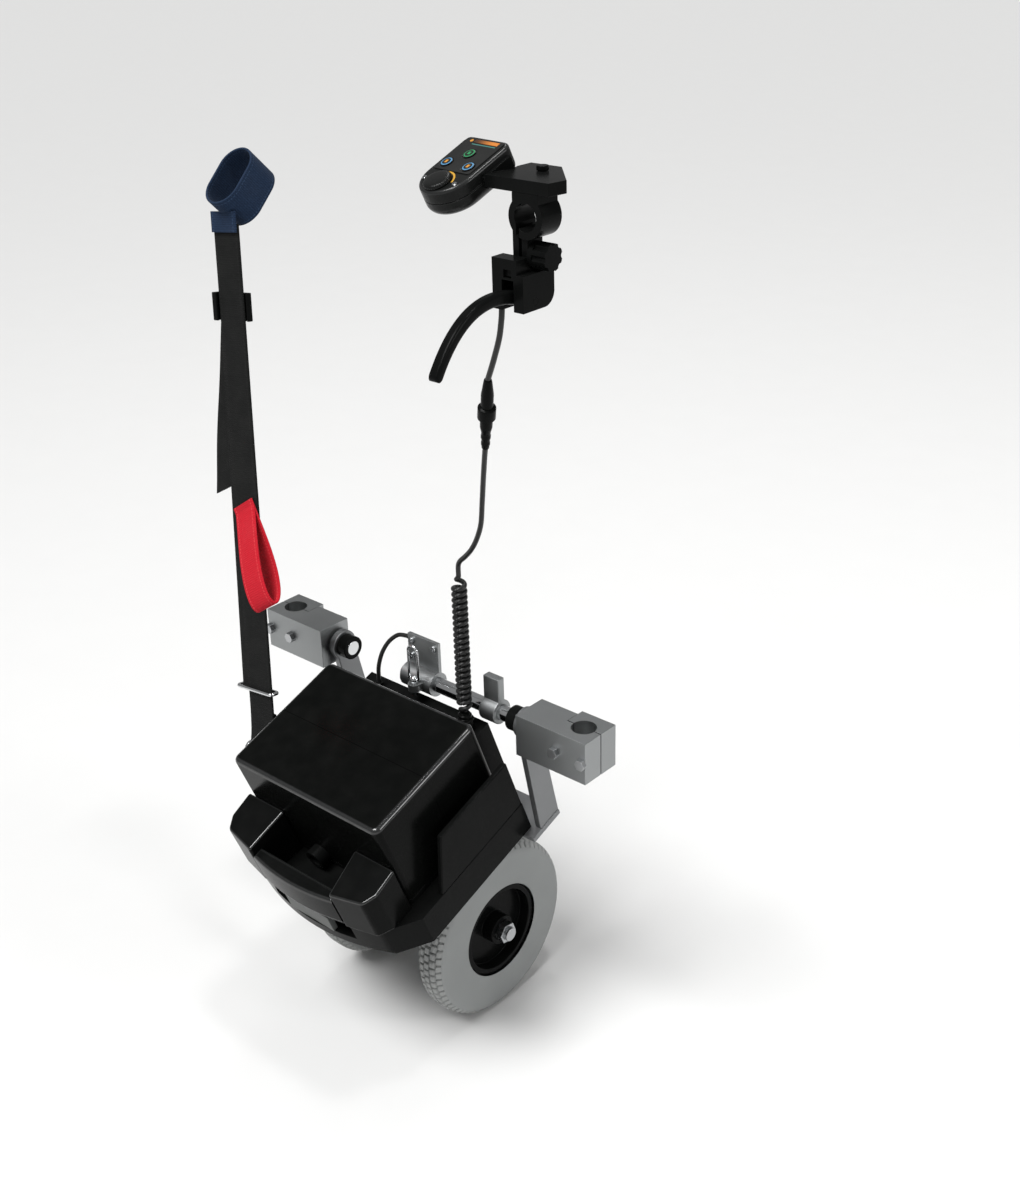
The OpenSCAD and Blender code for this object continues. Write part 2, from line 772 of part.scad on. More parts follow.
module gearbox_half_shell() difference() {
    union() {
        difference() {
            side_plate(0, gearbox_half) gearbox_outline();
            side_plate(-cut, gearbox_half - gearbox_wall) {
                translate([axle_u, axle_v]) circle(gearbox_r - gearbox_wall);
                translate([motor_u, axle_v]) circle(pinion_room);
            }
        }
        translate([0, axle_u, axle_v]) round_bar(boss_r, gear_w/2 + gear_side, gearbox_half);
    }
    translate([0, axle_u, axle_v]) {
        round_bar(bearing_r + fit_gap, gearbox_half - bearing_w, gearbox_half + cut);
        round_bar(axle_r + 1, -cut, gearbox_half + cut);
    }
    translate([0, motor_u, axle_v]) round_bar(shaft_r + shaft_gap, -cut, gearbox_half - gearbox_wall/2);
}

module gearbox_halves() color("#8f9294") unit() {
    translate([fit_gap, 0, 0]) gearbox_half_shell();
    difference() {
        mirror([1, 0, 0]) gearbox_half_shell();
        translate([0, motor_u, axle_v]) round_bar(shaft_r + shaft_gap, -gearbox_half - cut, 0);
    }
}

module motor_can() color("#2a2b2d") unit() translate([0, motor_u, axle_v]) difference() {
    round_bar(motor_r, motor_x0, motor_x1);
    round_bar(motor_r - motor_wall, motor_x0 + motor_wall, motor_x1 - motor_wall);
    round_bar(shaft_r + shaft_gap, motor_x0 + motor_wall/2, motor_x1 + cut);
}

module motor_rotor() color("#8a6a3a") unit() translate([0, motor_u, axle_v]) {
    round_bar(shaft_r, motor_x0 + motor_wall/2 + run_gap, shaft_end - run_gap);
    round_bar(motor_r - motor_wall - armature_room, motor_x0 + motor_wall + armature_room,
        motor_x1 - motor_wall - armature_room);
    side_plate(-gear_w/2, gear_w/2) gear_outline(pinion_teeth, pinion_r, 180);
}

module axle() color("#b0b3b5") unit() translate([0, axle_u, axle_v])
    round_bar(axle_r, -axle_half, axle_half);

module axle_gear() color("#9a9da0") unit() translate([0, axle_u, axle_v])
    side_plate(-gear_w/2, gear_w/2) difference() {
        gear_outline(gear_teeth, gear_r, 180/gear_teeth);
        circle(axle_r + fit_gap);
    }

module axle_bearings() color("#c8cacc") unit() both_sides() translate([0, axle_u, axle_v]) difference() {
    round_bar(bearing_r, gearbox_half - bearing_w + fit_gap, gearbox_half);
    round_bar(axle_r + shaft_gap, 0, gearbox_half + cut);
}

// A turned shape about the axle, drawn as (radius, distance from the wheel's middle)
module turned() {
    translate([wheel_x, axle_u, axle_v]) rotate([0, 90, 0]) rotate_extrude($fn = 96) children();
}

module wheel_hubs() color("#1b1c1d") unit() both_sides() turned() {
    translate([hub_r - hub_rim, -hub_half]) square([hub_rim, 2*hub_half]);
    translate([axle_r + fit_gap, -hub_web/2]) square([hub_r - axle_r - hub_rim, hub_web]);
    translate([axle_r + fit_gap, -tyre_w/2]) square([hub_boss_r - axle_r, tyre_w]);
}

// Half outline of a tyre: straight sidewall, then a round shoulder to the flat tread
module tyre() turned() {
    half = tyre_w/2;
    right = [for (a = [0:15:90])
        [wheel_r - shoulder + shoulder*sin(a), half - shoulder + shoulder*cos(a)]];
    left = [for (i = [len(right) - 1:-1:0]) [right[i][0], -right[i][1]]];
    polygon(concat([[hub_r + fit_gap, -hub_half], [hub_r + fit_gap, hub_half], [bead_r, half]],
        right, left, [[bead_r, -half]]));
}

module tyre_left() color("#8f9499") unit() mirror([1, 0, 0]) tyre();
module tyre_right() color("#8f9499") unit() tyre();

module hub_nuts() color("#c8cacc") unit() both_sides() translate([0, axle_u, axle_v]) difference() {
    translate([nut_x0, 0, 0]) rotate([0, 90, 0]) cylinder(r = nut_r, h = nut_t, $fn = 6);
    round_bar(axle_r + fit_gap, nut_x0 - cut, nut_x0 + nut_t + cut);
}

module push_latch() color("#9b9d9f") unit() {
    u0 = tray_rear + latch_inset;
    block([-latch_w/2 + run_gap, u0, latch_v0], [latch_w/2 - run_gap, u0 + latch_t, latch_v1]);
    translate([0, u0 + latch_t - cut, (latch_v0 + latch_v1)/2]) rotate([-90, 0, 0])
        cylinder(r = stem_r, h = latch_travel + latch_spring + stem_len/2);
}

module latch_spring() color("#b5b8ba") unit() {
    u0 = tray_rear + latch_inset + latch_t + fit_gap;
    translate([0, u0, (latch_v0 + latch_v1)/2]) rotate([-90, 0, 0]) difference() {
        cylinder(r = stem_r + run_gap + spring_wall, h = latch_travel + latch_spring - 2*fit_gap);
        translate([0, 0, -cut]) cylinder(r = stem_r + run_gap, h = latch_back);
    }
}

// The post stands out of the left pod, under the strap's foot
module strap_post() color("#b0b3b5") translate([0, strap_foot[1], strap_foot[2]]) {
    tip = -tray_half - post_peg_len;
    round_bar(post_peg_r, tip, -tray_half - fit_gap);
    round_bar(2*post_peg_r, -tray_half - post_flange, -tray_half - fit_gap);
    round_bar(2*post_peg_r, tip - post_flange, tip);
}

module cable_plug() color("#161617") translate([plug_x, plug_y, 0]) rotate_extrude()
    polygon([[0, plug_z0 + run_gap], [plug_r, plug_z0 + run_gap], [plug_r, plug_waist],
        [plug_end_r, plug_top], [0, plug_top]]);

// Battery pack

// The cover's round form, drawn in by an inset, from a height below its rim
module case_form(inset, below) {
    edge = case_round - inset;
    hull() for (a = [0:22.5:90])
        translate([0, 0, -below]) linear_extrude(case_v1 - cover_v0 + below - inset - edge*(1 - sin(a)))
            round_rect(case_w - 2*inset - 2*edge*(1 - cos(a)), case_d - 2*inset - 2*edge*(1 - cos(a)),
                case_corner - inset - 0.9*edge*(1 - cos(a)), $fn = 32);
}

module battery_cover() color("#141516") unit() translate([0, case_mid_u, cover_v0]) difference() {
    case_form(0, 0);
    case_form(case_wall, cut);
}

module battery_base() color("#1a1b1c") unit() translate([0, case_mid_u, ledge_v + run_gap]) {
    linear_extrude(base_t) round_rect(case_w, case_d, case_corner);
    translate([0, 0, base_t - cut]) linear_extrude(lip_h + cut) difference() {
        round_rect(lip_w, lip_d, lip_corner);
        round_rect(lip_w - 2*lip_t, lip_d - 2*lip_t, lip_corner - lip_t);
    }
}

module carry_handle() color("#161718") unit() {
    half = recess_w/2;
    rear_half = half + recess_flare;
    front = case_u0 - fit_gap;
    slope = atan(handle_drop/handle_d);
    bow = [for (k = [-6:6]) let (x = rear_half*k/6)
        [x, handle_u0 + tray_belly*pow(x/tray_belly_x, 2)]];
    both_sides() difference() {
        translate([0, 0, handle_v0]) linear_extrude(handle_h - run_gap)
            polygon([[half, front], [block_half, front], [block_half, front - handle_d/2],
                [block_half - block_chamfer, front - 0.75*handle_d], [rear_half, bow[0][1]]]);
        translate([0, front, ledge_v + handle_h]) rotate([slope, 0, 0])
            translate([0, -2*handle_d, 0]) cube([case_w, 3*handle_d, handle_h]);
    }
    translate([0, 0, grip_v0]) linear_extrude(grip_h) polygon(concat(bow,
        [[rear_half + 1, bow[0][1] + grip_t], [-rear_half - 1, bow[0][1] + grip_t]]));
}

module battery_blocks() color("#3a3d40") unit() both_sides()
    block([cell_gap/2, case_mid_u - cell_d/2, cell_v0 + fit_gap],
        [cell_gap/2 + cell_w, case_mid_u + cell_d/2, cell_v1]);

module battery_link() color("#b5893a") unit() {
    reach = cell_w/2;
    for (x = [-reach, reach]) translate([x, terminal_u, cell_v1 + fit_gap])
        cylinder(r = terminal_r, h = terminal_h);
    block([-reach - link_w/2, terminal_u - link_w/2, cell_v1 + terminal_h],
        [reach + link_w/2, terminal_u + link_w/2, cell_v1 + terminal_h + link_t]);
}

module charge_socket() color("#242628") unit() translate([charge_x, case_u0 - fit_gap, charge_v])
    rotate([90, 0, 0]) difference() {
        cylinder(r = charge_r, h = charge_len);
        translate([0, 0, charge_len/3]) cylinder(r = 0.6*charge_r, h = charge_len);
    }

// Control set

module handle_clamp() color("#1b1c1d") translate([handle_x, ring_y, ring_z]) difference() {
    union() {
        rotate([90, 0, 0]) cylinder(r = ring_r, h = ring_w, center = true);
        block([-saddle_half, -ring_w/2, 0], [saddle_half, ring_w/2, saddle_z - ring_z]);
        block([lug_x - handle_x - ring_slot/2 - lug_t, -lug_half, lug_z0 - ring_z],
            [lug_side - handle_x, lug_half, 0]);
    }
    rotate([90, 0, 0]) cylinder(r = handle_r, h = ring_w + 2*cut, center = true);
    block([lug_x - handle_x - ring_slot/2, -ring_w, lug_z0 - ring_z - cut],
        [lug_x - handle_x + ring_slot/2, ring_w, 0]);
    translate([0, 0, screw_z - ring_z]) round_bar(screw_r + shaft_gap, -2*ring_r, 2*ring_r);
}

module clamp_knob() color("#1f2022") translate([0, ring_y, screw_z]) {
    x0 = lug_side + run_gap;
    round_bar(screw_r, lug_x - ring_slot/2 - lug_t, x0 + 1);
    difference() {
        round_bar(knob_r, x0, x0 + knob_len);
        for (a = [0:45:315]) rotate([a, 0, 0]) translate([0, knob_r + knob_flute/2, 0])
            round_bar(knob_flute, x0 + knob_len/4, x0 + knob_len + cut);
    }
}

module control_arm() color("#1d1e20") difference() {
    union() {
        translate([0, 0, arm_z0]) linear_extrude(plate_arm_t)
            polygon([[arm_left + cut, arm_rear], [arm_left + cut, arm_front], [handle_x - 9, arm_front],
                arm_nose, [arm_nose[0] - 3, arm_rear]]);
        pad() block([pad_w/2 + fit_gap, lug_back, -pad_t + 8],
            [pad_w/2 + arm_lug, key_front - 5, -6]);
    }
    pad() translate([0, 0, -2*pad_t]) linear_extrude(4*pad_t) pad_outline(-fit_gap);
    translate([arm_knob_at[0], arm_knob_at[1], arm_z0 - cut])
        cylinder(r = arm_screw_r + shaft_gap, h = plate_arm_t + 2*cut);
}

module arm_knob() color("#222325") translate([arm_knob_at[0], arm_knob_at[1], arm_z1]) {
    translate([0, 0, -plate_arm_t]) cylinder(r = arm_screw_r, h = plate_arm_t + 1);
    translate([0, 0, run_gap]) cylinder(r = arm_knob_r, h = arm_knob_h);
}

// The handset's frame: X across, Y up its face, Z out of its face
module pad() { translate([pad_x, pad_y, pad_z]) rotate([pad_tilt, 0, -pad_turn]) children(); }

// Outline of the handset: a round lower end and two round upper corners
module pad_outline(inset) {
    half = pad_w/2 - inset;
    corner = pad_round - inset;
    translate([0, pad_back]) circle(half);
    translate([-half, pad_back]) square([2*half, pad_front - pad_round - pad_back]);
    translate([-half + corner, pad_back]) square([2*half - 2*corner, pad_front - inset - pad_back]);
    for (x = [-1, 1]) translate([x*(half - corner), pad_front - pad_round]) circle(corner);
}

module handset_lower() color("#131415") pad() difference() {
    translate([0, 0, -pad_t]) linear_extrude(pad_t - pad_split) pad_outline(0);
    translate([0, 0, -pad_t + pad_wall]) linear_extrude(pad_t) pad_outline(pad_wall);
}

// Through holes for the three buttons
module button_holes() {
    for (at = [power_at, left_at, right_at]) translate([at[0], at[1], -pad_t])
        cylinder(r = button_r + run_gap, h = 2*pad_t);
}

module handset_upper() color("#17181a") pad() difference() {
    translate([0, 0, -pad_split + fit_gap]) linear_extrude(pad_split - fit_gap) pad_outline(0);
    translate([0, 0, -pad_split - cut]) linear_extrude(pad_split + cut - pad_wall) pad_outline(pad_wall);
    button_holes();
    translate([dial_at[0], dial_at[1], -pad_split]) cylinder(r = dial_stem_r + shaft_gap, h = 2*pad_split);
}

module keypad() color("#2b2d2f") pad() difference() {
    translate([-key_w/2, key_back, fit_gap]) cube([key_w, key_front - key_back, key_t]);
    button_holes();
    translate([lens_at[0] - lens_size[0]/2 - fit_gap, lens_at[1] - lens_size[1]/2 - fit_gap, -cut])
        cube([lens_size[0] + 2*fit_gap, lens_size[1] + 2*fit_gap, 3*cut]);
}

module status_lens() color("#d98b2b") pad()
    translate([lens_at[0] - lens_size[0]/2, lens_at[1] - lens_size[1]/2, fit_gap])
        cube([lens_size[0], lens_size[1], key_t + run_gap]);

module handset_board() color("#1f5a34") pad() {
    half = pad_w/2 - pad_wall - pillar_r;
    front = key_front - pillar_r;
    for (x = [-1, 1], y = [key_back + 2*pillar_r, front - 2*pillar_r])
        translate([x*(half - 2*pillar_r), y, -pad_t + pad_wall])
            cylinder(r = pillar_r, h = pad_t + board_n - pad_wall);
    block([-half, key_back, board_n - board_t], [half, front, board_n]);
}

module button(at) pad() translate([at[0], at[1], -button_foot])
    cylinder(r = button_r, h = button_foot + button_top);

module power_button() color("#2c8a4a") button(power_at);
module left_button() color("#2f6aa8") button(left_at);
module right_button() color("#2f6aa8") button(right_at);

module speed_dial() color("#232527") pad() translate([dial_at[0], dial_at[1], 0]) {
    translate([0, 0, -pad_wall - dial_stem]) cylinder(r = dial_stem_r, h = pad_wall + dial_stem + cut);
    translate([0, 0, run_gap]) cylinder(r = dial_r, h = dial_h);
}

// Side outline of the throttle housing, drawn in by an inset
module throttle_outline(inset) {
    y0 = throttle_y0 + inset;
    y1 = throttle_y1 - inset;
    z0 = throttle_z0 + inset;
    z1 = throttle_z1 - inset;
    r = throttle_round - inset;
    translate([y0, z0]) square([y1 - y0 - r, z1 - z0]);
    translate([y0, z0 + r]) square([y1 - y0, z1 - z0 - r]);
    translate([y1 - r, z0 + r]) circle(r);
}

module throttle_housing() color("#1b1c1d") difference() {
    union() {
        side_plate(throttle_x - box_w/2, throttle_x + box_w/2) throttle_outline(0);
        block([throttle_x - box_w/2, throttle_y0, throttle_z1 - throttle_wall],
            [lug_side, ring_y - lug_half - run_gap, throttle_z1 + collar_rise]);
    }
    side_plate(throttle_x - box_w/2 + throttle_wall, throttle_x + box_w/2 - throttle_wall)
        throttle_outline(throttle_wall);
    block([throttle_x - lever_t/2 - lever_side_gap, throttle_y0 - cut, throttle_z0 - cut],
        [throttle_x + lever_t/2 + lever_side_gap, lever_at[0] + slot_fore, lever_at[1] + slot_up]);
    translate([throttle_x, throttle_y0, throttle_z1])
        cube([hole_w, 2*throttle_wall, hole_h], center = true);
    translate([0, lever_at[0], lever_at[1]])
        round_bar(lever_pin_r + fit_gap, throttle_x - box_w, throttle_x + box_w);
}

// Middle line of the lever, a curve with one bend, and its half width there
function lever_point(t) = (1 - t)*(1 - t)*lever_at + 2*t*(1 - t)*lever_bend + t*t*lever_tip;
function lever_half(t) = lever_root - (lever_root - lever_end)*sqrt(t);
function lever_angle(t) =
    let (d = (1 - t)*(lever_bend - lever_at) + t*(lever_tip - lever_bend)) atan2(d[1], d[0]);
function lever_edge(t, turn) =
    let (a = lever_angle(t) + turn) lever_point(t) + lever_half(t)*[cos(a), sin(a)];

module throttle_lever() color("#0e0e0f") side_plate(throttle_x - lever_t/2, throttle_x + lever_t/2)
    difference() {
        polygon(concat([for (k = [0:lever_steps]) lever_edge(k/lever_steps, 90)],
            [for (turn = [75:-15:-75]) lever_edge(1, turn)],
            [for (k = [lever_steps:-1:0]) lever_edge(k/lever_steps, -90)],
            [for (turn = [-105:-15:-255]) lever_edge(0, turn)]));
        translate(lever_at) circle(lever_pin_r + shaft_gap);
    }

module lever_pin() color("#c2c4c6") translate([0, lever_at[0], lever_at[1]])
    round_bar(lever_pin_r, throttle_x - box_w/2, throttle_x + box_w/2);

// Cable

module thin_cable() color("#121213") {
    tube(smooth(upper_route, 2), cord_d/2, cord_sides, [1, 0, 0]);
    tube(smooth(lower_route, 2), cord_d/2, cord_sides, [1, 0, 0]);
}

// Children drawn along the connector, from its lower end
module on_connector() {
    d = connector_dir;
    translate(connector_b) rotate([0, acos(d[2]), atan2(d[1], d[0])]) children();
}

module connector() color("#17181a") on_connector() {
    len = norm(connector_a - connector_b);
    cylinder(r1 = cord_d/2 + 1, r2 = connector_r, h = 0.3*len);
    translate([0, 0, 0.3*len]) cylinder(r = connector_r, h = 0.5*len);
    translate([0, 0, 0.45*len]) cylinder(r = connector_collar_r, h = 0.16*len);
    translate([0, 0, 0.8*len]) cylinder(r1 = connector_r, r2 = cord_d/2 + 1, h = 0.2*len);
}

// Middle line of the curly cable: a helix that grows out of its axis in the first curl and
// goes back in the last, both twice as high as the others, with a straight end at each side
function ease(t) = t*t*(3 - 2*t);
function curl_radius(turn) = curl_r*ease(min(1, turn, curls - turn));
function curl_height(turn) = curl_pitch*(turn + min(1, turn) + max(0, turn - curls + 1));
curly_route = concat([[plug_x, plug_y, plug_top]],
    [for (k = [0:curls*curl_rings]) let (turn = k/curl_rings)
        [plug_x + curl_radius(turn)*cos(360*turn), plug_y + curl_radius(turn)*sin(360*turn),
            coil_z0 + curl_height(turn)]], [coil_end]);

module curly_cable() color("#101011") tube(curly_route, cord_d/2, curl_sides, [1, 0, 0]);

// Least gap between turns, measured on the middle line from half a curl away
curl_gap = min([for (i = [0:len(curly_route) - 1]) for (j = [i + curl_rings/2:1:len(curly_route) - 1])
    norm(curly_route[i] - curly_route[j])]) - cord_d;
echo(least_gap_of_curly_cable = curl_gap);

// Strap

module strap_loop() color("#1d3f86") {
    translate(loop_mid) rotate([loop_lean, 0, 0]) translate([0, 0, -web_w/2]) linear_extrude(web_w)
        difference() {
            loop_outline(web_t);
            loop_outline(0);
        }
    on_strap() web(loop_tab_top, loop_tab, -2*web_t - web_gap);
}

// Inside of the loop: two round ends and straight sides, drawn out by a thickness
module loop_outline(t) {
    reach = loop_half_y - loop_half_x;
    for (y = [-1, 1]) translate([0, y*reach]) circle(loop_half_x + t);
    square([2*loop_half_x + 2*t, 2*reach], center = true);
}

module strap() color("#17181a") {
    on_strap() {
        web(strap_start, strap_end, -web_t);
        second = [slider_s + slider_h/2, ring_s + ring_h];
        flat_web(web_gap) polygon([for (e = [[0, -1], [0, 1], [1, 1], [1, -1]])
            [e[1]*web_w/2 - fold_shift(second[e[0]]), -second[e[0]]]]);
        translate([-tail_shift, web_t + 3*web_gap, -tail_s]) rotate([tail_hang, 0, 0])
            rotate([0, tail_swing, 0]) flat_web(0) polygon([[-web_w/2, 0], [-web_w/2, -tail_len],
                [web_w/2, tail_cut - tail_len], [web_w/2, 0]]);
    }
}

// How far the second layer stands out on the left at a place s
function fold_shift(s) = fold_top + (fold_low - fold_top)*(s - slider_s)/(ring_s - slider_s);

// A piece of webbing drawn flat as (X, Z), its rear face at y0
module flat_web(y0) {
    translate([0, y0 + web_t, 0]) rotate([90, 0, 0]) linear_extrude(web_t) children();
}

// A frame with a wall round both layers of the strap, from s downwards
module strap_frame(s, h, wall) {
    low = [-web_w/2 - fold_shift(s + h) - web_gap, -web_t - web_gap, -s - h];
    high = [web_w/2 + web_gap, 2*web_gap + web_t, -s];
    difference() {
        block(low - [wall, wall, 0], high + [wall, wall, 0]);
        block(low - [0, 0, cut], high + [0, 0, cut]);
    }
}

// The slider is open to the rear, where the strap covers it
module strap_slider() color("#0f1011") on_strap() difference() {
    strap_frame(slider_s, slider_h, slider_wall);
    block([-web_w/2, -web_w, -slider_s - slider_h - cut], [web_w, 0, cut - slider_s]);
}
module strap_ring() color("#cfd2d4") on_strap() strap_frame(ring_s, ring_h, ring_wall_s);

// Pull loop, seen edge on as (Y, Z): a drop that hangs from its sewn end and stands off the strap
pull_y = -1.5*web_t - web_gap;
function pull_point(a) = [pull_y - pull_bow*(0.625*(1 - cos(a)) + sin(a)*pow(sin(a/2), 1.5)),
    -pull_len*(1 - cos(a))/2];
module pull_drop() polygon([for (k = [0:pull_steps - 1]) pull_point(360*k/pull_steps)]);

// The loop hangs turned to the right about its sewn end
module pull_loop() color("#e0242c") on_strap() translate([0, 0, -pull_s0]) rotate([0, -pull_turn, 0])
    side_plate(-pull_w/2, pull_w/2) {
        intersection() {
            difference() {
                offset(delta = web_t/2) pull_drop();
                offset(delta = -web_t/2) pull_drop();
            }
            translate([pull_y + web_t/2 - pull_len, -2*pull_len]) square([pull_len, 2*pull_len + pull_tab]);
        }
        translate([pull_y - web_t/2, -pull_tab]) square([web_t, 2*pull_tab]);
    }

crossbar();
bar_collars();
frame_clamp_left();
frame_clamp_right();
clamp_caps();
clamp_bolts();
latch_bracket();
quick_pin();
release_lever();
short_lead();
base_tray();
side_pods();
chassis_plate();
hanger_arms();
controller_box();
controller_board();
gearbox_halves();
motor_can();
motor_rotor();
axle();
axle_gear();
axle_bearings();
wheel_hubs();
tyre_left();
tyre_right();
hub_nuts();
push_latch();
latch_spring();
strap_post();
cable_plug();
battery_cover();
battery_base();
carry_handle();
battery_blocks();
battery_link();
charge_socket();
handle_clamp();
clamp_knob();
control_arm();
arm_knob();
handset_lower();
handset_upper();
keypad();
status_lens();
handset_board();
power_button();
left_button();
right_button();
speed_dial();
throttle_housing();
throttle_lever();
lever_pin();
thin_cable();
connector();
curly_cable();
strap_loop();
strap();
strap_slider();
pull_loop();
strap_ring();
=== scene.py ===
# %% [markdown]
# # Wheelchair power assist
# A small drive unit hangs on a clamped bar and pushes from behind. A handset and a throttle
# lever sit on a clamp at the upper right, a cable joins them to the unit, and a strap on the
# left lifts the unit off the ground. The CAD model is loaded first as a fixed frame in metres,
# with X to the right, Y forward and Z up, so each piece below is made straight in its place.

# %% Load the frame
import json
import bpy
import numpy as np
from mathutils import Matrix, Vector


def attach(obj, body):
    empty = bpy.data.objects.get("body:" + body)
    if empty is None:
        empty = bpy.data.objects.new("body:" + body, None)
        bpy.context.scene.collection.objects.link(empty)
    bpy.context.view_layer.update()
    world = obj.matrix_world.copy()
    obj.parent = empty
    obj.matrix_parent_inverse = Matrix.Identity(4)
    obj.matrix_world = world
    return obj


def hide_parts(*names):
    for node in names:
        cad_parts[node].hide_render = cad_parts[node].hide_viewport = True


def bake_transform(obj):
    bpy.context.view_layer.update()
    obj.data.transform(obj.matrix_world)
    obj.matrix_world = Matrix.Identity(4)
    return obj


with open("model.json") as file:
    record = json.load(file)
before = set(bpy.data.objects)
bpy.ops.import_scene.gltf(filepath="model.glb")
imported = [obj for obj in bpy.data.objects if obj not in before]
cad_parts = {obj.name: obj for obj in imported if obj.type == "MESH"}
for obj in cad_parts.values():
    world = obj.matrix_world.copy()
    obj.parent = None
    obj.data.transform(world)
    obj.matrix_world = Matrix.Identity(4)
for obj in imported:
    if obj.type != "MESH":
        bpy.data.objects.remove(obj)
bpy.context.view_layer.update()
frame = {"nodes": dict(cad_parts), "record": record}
nodes = frame["nodes"]
MM = 0.001  # a millimetre in metres

# %% [markdown]
# ## Camera
# The photograph was taken from behind, to the right and above. The eye's place, its direction
# and its small roll were worked out from known sizes, so here they are plain numbers. A camera
# could be aimed with a constraint, but a matrix of its three axes keeps the roll too.

# %% Camera
eye = np.array([0.9908, -0.9717, 0.7871])
azimuth, elevation, roll = np.radians([42.024, 26.671, -1.694])
back = np.array([np.sin(azimuth) * np.cos(elevation), -np.cos(azimuth) * np.cos(elevation),
                 np.sin(elevation)])
level = np.array([np.cos(azimuth), np.sin(azimuth), 0])
rise = np.cross(back, level)
right = np.cos(roll) * level + np.sin(roll) * rise
upward = -np.sin(roll) * level + np.cos(roll) * rise
lens = bpy.data.cameras.new("camera")
lens.lens, lens.sensor_width = 46.02, 36
camera = bpy.data.objects.new("camera", lens)
axes = np.stack([right, upward, back], 1)
camera.matrix_world = Matrix([[*row, e] for row, e in zip(axes, eye)] + [[0, 0, 0, 1]])
bpy.context.collection.objects.link(camera)
bpy.context.scene.camera = camera
print("camera at", eye, "looking along", np.round(-back, 3))

# %% [markdown]
# ## Light
# Black plastic shows its shape only through what it reflects. A wide, soft sun lights the whole
# floor evenly, and four small boxes give thin highlights along the edges. A bright sky would be
# simpler, but it lies as a grey veil on every black face, so the sky is kept low.

# %% Lamps
object_middle = Vector((0, -0.05, 0.05))


def aimed(name, kind, at):
    """A lamp of some kind at a point, turned to the middle of the object."""
    lamp = bpy.data.objects.new(name, bpy.data.lights.new(name, kind))
    lamp.location = at
    lamp.rotation_euler = (object_middle - Vector(at)).to_track_quat("-Z", "Y").to_euler()
    bpy.context.collection.objects.link(lamp)
    return lamp.data


sun = aimed("sun", "SUN", (-0.5, -1.7, 3.0))
sun.energy, sun.angle = 2.9, 0.45
light_boxes = {"key": ((0.7, -1.8, 2.3), 0.5, 15), "fill": ((2.4, 0.5, 1.1), 0.7, 16),
               "rim": ((-1.0, 1.2, 2.7), 0.5, 9), "top": ((0.5, 0.1, 2.6), 0.3, 14)}
for name, (at, size, power) in light_boxes.items():
    box = aimed(name, "AREA", at)
    box.size, box.energy = size, power

# %% Sky
# A ray from the camera sees a pale sky, and every other ray the low one that lights the object.
low_sky, added_for_camera = 0.27, 0.5
world = bpy.context.scene.world or bpy.data.worlds.new("sky")
bpy.context.scene.world = world
world.use_nodes = True
sky = world.node_tree.nodes["Background"]
sky.inputs["Color"].default_value = (1.0, 1.0, 1.0, 1)
seen = world.node_tree.nodes.new("ShaderNodeLightPath").outputs["Is Camera Ray"]
glow = world.node_tree.nodes.new("ShaderNodeMath")
glow.operation = "MULTIPLY_ADD"
glow.inputs[1].default_value, glow.inputs[2].default_value = added_for_camera, low_sky
world.node_tree.links.new(seen, glow.inputs[0])
world.node_tree.links.new(glow.outputs[0], sky.inputs["Strength"])
bpy.context.scene.view_settings.view_transform = "Standard"
print("sky", low_sky, "and", low_sky + added_for_camera, "to the camera")

# %% [markdown]
# ## Shader effects
# Several finishes share the same small effects, so each effect is a node group that is built once:
# the grain of a moulded surface, the lighter colour on its edges (wear, and on the black plastics a
# painted highlight), settled dust and the weave of webbing. A group only gives out masks and
# heights, and the shader stays in each material. A noise's scale is the number of its grains in a
# metre.

# %% Node helpers
def add(tree, kind, settings=None, **inputs):
    """A shader node with its settings, each named input set to a number or wired to a socket.

    An input called i and a number, such as i2, is found by its place.
    """
    node = tree.nodes.new("ShaderNode" + kind)
    for key, value in (settings or {}).items():
        setattr(node, key, value)
    for key, value in inputs.items():
        by_place = key[0] == "i" and key[1:].isdigit()
        socket = node.inputs[int(key[1:]) if by_place else key]
        if isinstance(value, bpy.types.NodeSocket):
            tree.links.new(value, socket)
        else:
            socket.default_value = value
    return node


def sums(tree, operation, a, b=0.0, c=0.0, clamp=False):
    """The result of one sum of numbers or sockets; MULTIPLY_ADD gives a x b + c."""
    settings = {"operation": operation, "use_clamp": clamp}
    return add(tree, "Math", settings, i0=a, i1=b, i2=c).outputs[0]


def blended(tree, factor, a, b):
    """Colour a turned into colour b by a factor."""
    paint = [v if isinstance(v, bpy.types.NodeSocket) else (*v, 1.0) for v in (a, b)]
    return add(tree, "Mix", {"data_type": "RGBA"}, i0=factor, i6=paint[0], i7=paint[1]).outputs[2]


def effect(name, inputs, outputs):
    """An empty node group with named number sockets, its tree and its two end nodes."""
    tree = bpy.data.node_groups.new(name, "ShaderNodeTree")
    for key in inputs:
        tree.interface.new_socket(key, in_out="INPUT", socket_type="NodeSocketFloat")
    for key in outputs:
        tree.interface.new_socket(key, in_out="OUTPUT", socket_type="NodeSocketFloat")
    return tree, tree.nodes.new("NodeGroupInput"), tree.nodes.new("NodeGroupOutput")


# %% Grain, edge wear and painted highlight, and dust
grain, given, result = effect("moulded grain", ["Scale"], ["Height", "Tone"])
place = add(grain, "TexCoord").outputs["Object"]
fine = add(grain, "TexNoise", Vector=place, Scale=given.outputs["Scale"], Detail=2.0)
broad = add(grain, "TexNoise", Vector=place, Scale=14.0, Detail=3.0)
grain.links.new(fine.outputs["Fac"], result.inputs["Height"])
grain.links.new(broad.outputs["Fac"], result.inputs["Tone"])
